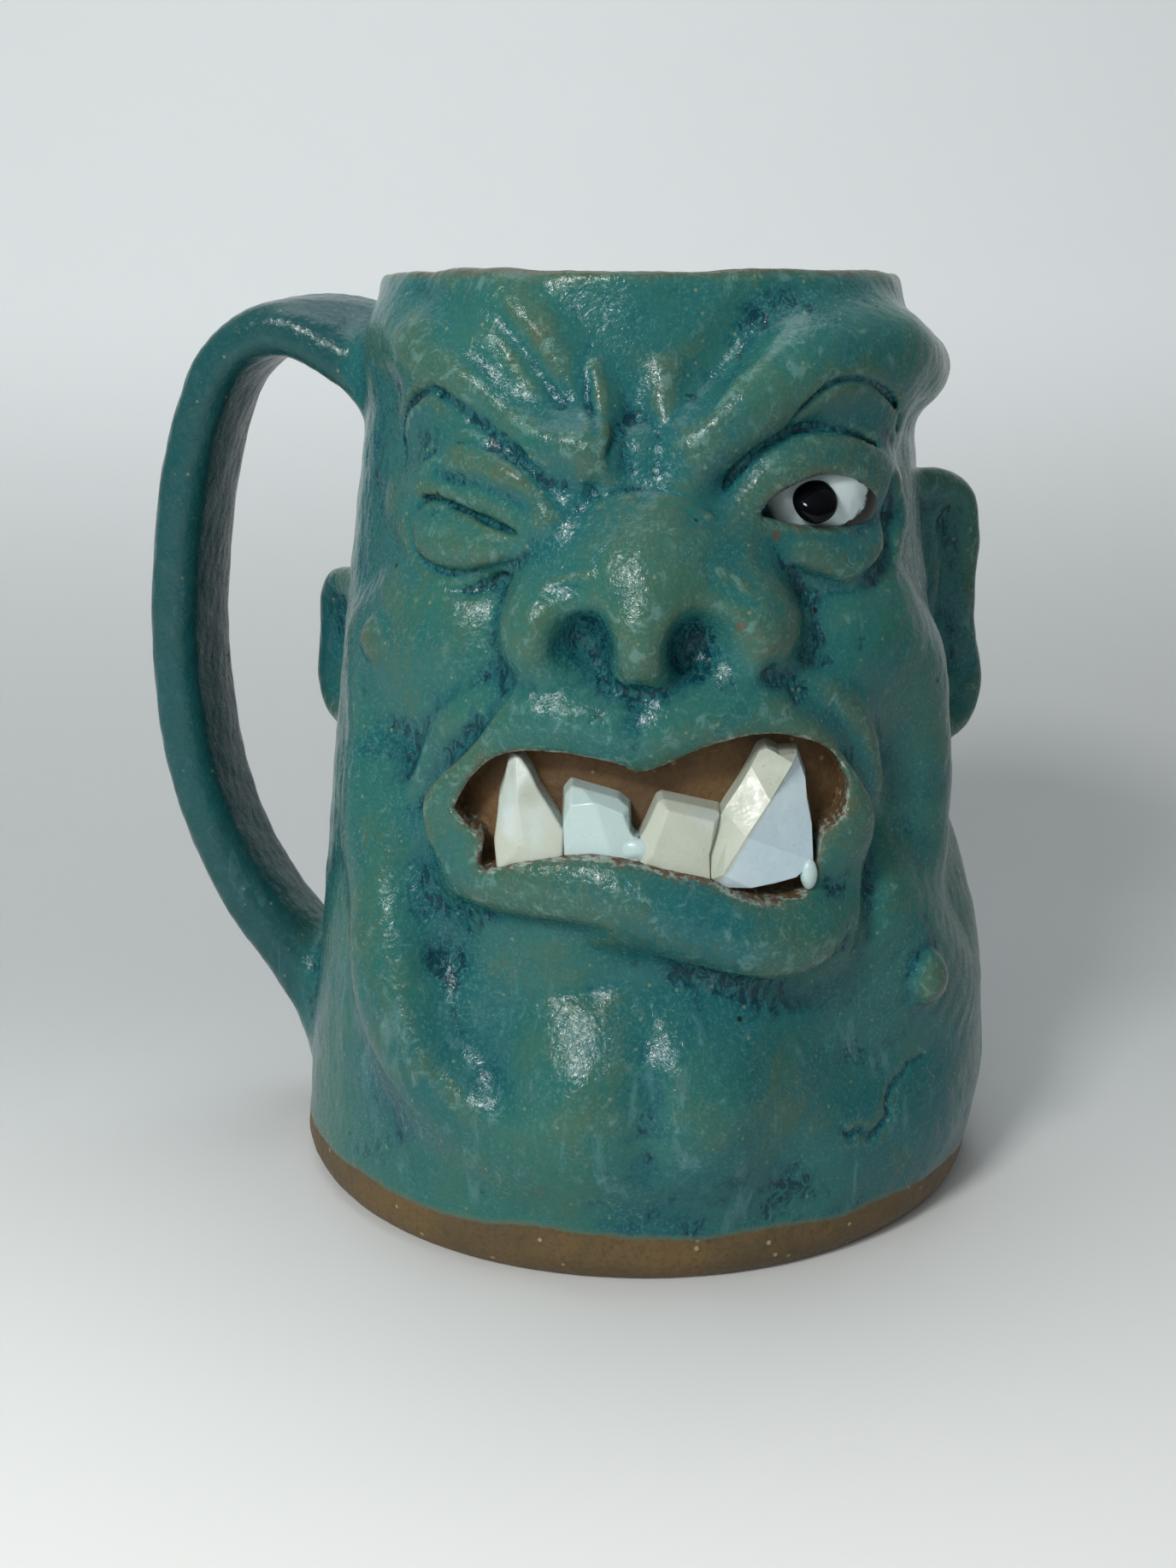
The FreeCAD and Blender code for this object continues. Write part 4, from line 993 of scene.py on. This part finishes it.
def make_eye():
    """The eyeball, darkened towards the lids with staining and painted shade, and the pupil on it."""
    mesh, points = bead("eyeball_bead", "eyeball", "eye_white", eye_material(),
                        (24.6, 109.4, -4), (10.2, 8.4, 8.4), 0.1, 9)
    turn = math.radians(33)
    off = (points - front(24.6, 109.6, 4)) @ ((math.cos(turn), 0), (math.sin(turn), 0), (0, 1))
    # Distance from the eye's middle, for the staining and the painted shade at the lids.
    add_layer(mesh, "lid_shade_and_stain_reach", np.hypot((off[:, 0] + 1.2) / 9.4, off[:, 1] / 4.6))
    bead("pupil_bead", "pupil", "pupil_black", pupil_material(),
         (23.8, 109.4, 3.4), (3.05, 1.7, 3.3), 0.05, 4, angle=2, lean=38)


# ---- stage ----------------------------------------------------------------------------------------------

def make_stage():
    """A paper sweep whose colour holds painted light and shade, a soft light from the upper left, and the camera.
    """
    profile = [(-1.6, 0.0), (0.10, 0.0)]
    profile += [(0.10 + 0.55 * math.sin(a), 0.55 - 0.55 * math.cos(a)) for a in np.linspace(0.1, math.pi / 2, 24)]
    profile += [(0.65, 1.9)]
    points = [(x, y, z) for y, z in profile for x in (-1.8, 1.8)]
    faces = [(2 * i, 2 * i + 1, 2 * i + 3, 2 * i + 2) for i in range(len(profile) - 1)]
    paper = bpy.data.meshes.new("paper_sweep")
    paper.from_pydata(points, [], faces)
    paper.shade_smooth()
    paper = link("paper_sweep", paper)
    m = Nodes("white_paper")
    x, y, z = m.coordinates()
    # Painted light and shade on the paper: paler at the front left, darker towards the right, with a painted shaded
    # band behind the mug.
    light = m.mix(m.span(x, 0.0, 0.2), rgb(238, 239, 237), rgb(216, 219, 217))
    shaded = m.mix(m.span(x, -0.14, 0.24), rgb(184, 188, 189), rgb(177, 180, 181))
    floor = m.mix(m.span(y, -0.17, 0.08), light, shaded)
    paper.data.materials.append(m.shade(
        m.mix(m.span(z, 0.0, 0.14), floor, rgb(222, 227, 228)), m.span(m.noise(30, 2), 0.3, 0.7, 0.7, 0.8), None))

    world = bpy.data.worlds.new("studio")
    world.use_nodes = True
    tree = world.node_tree
    direction = tree.nodes.new("ShaderNodeTexCoord")
    split = tree.nodes.new("ShaderNodeSeparateXYZ")
    tree.links.new(direction.outputs["Generated"], split.inputs[0])
    ramp = tree.nodes.new("ShaderNodeMapRange")
    for key, number in (("From Min", -0.2), ("From Max", 0.9), ("To Min", 0.05), ("To Max", 0.34)):
        ramp.inputs[key].default_value = number
    tree.links.new(split.outputs[2], ramp.inputs["Value"])
    background = tree.nodes["Background"]
    background.inputs[0].default_value = (0.95, 0.985, 1.0, 1)
    tree.links.new(ramp.outputs[0], background.inputs[1])
    bpy.context.scene.world = world
    bpy.context.scene.view_settings.view_transform = "Standard"

    def area(name, place, target, size, power, colour):
        light = bpy.data.lights.new(name, "AREA")
        light.shape, light.energy, light.color = "RECTANGLE", power, colour
        light.size, light.size_y = size
        lamp = link(name, light)
        lamp.location = place
        lamp.rotation_euler = (Vector(target) - Vector(place)).to_track_quat("-Z", "Y").to_euler()
        return lamp

    area("key", (-0.43, -0.77, 0.68), (0, 0, 0.07), (0.21, 0.16), 6.4, (1, 0.99, 0.97))
    area("top", (-0.1, 0.25, 1.2), (0, 0.2, 0), (0.9, 0.6), 4.0, (0.97, 0.99, 1))
    area("fill", (-0.45, -0.95, 0.50), (0, 0, 0.07), (0.60, 0.50), 3.6, (1, 0.99, 0.98)).visible_glossy = False

    camera = bpy.data.cameras.new("camera")
    camera.sensor_fit, camera.sensor_height, camera.clip_start = "VERTICAL", SENSOR, 0.01
    camera.lens = FOCAL * SENSOR
    view = link("camera", camera)
    view.location = (0, -0.289, 0.1354)
    view.rotation_euler = Euler((math.radians(90 - LOOK_DOWN), 0, math.radians(LOOK_LEFT)))
    bpy.context.scene.camera = view


def main():
    """Sculpts the clay, cuts it into pieces, then adds the teeth, the eye and the stage."""
    clay = sculpt()
    skin = Skin(clay)
    print("skin", len(skin.points), "points", len(skin.quads), "quads")
    rounds = 0.25 / VOXEL ** 2    # so that smoothing reaches as far at any voxel size
    skin.roughen()
    layers = {"pool": skin.hollowness(int(12 * rounds)), "bulk": skin.hollowness(int(110 * rounds))}
    layers["bare"] = clay.bareness(skin.points)
    glaze = glaze_material()

    def finish(piece, name):
        finish_piece(piece, name, glaze)

    cut_pieces(skin, layers, finish)
    make_teeth()
    make_eye()
    make_stage()


main()
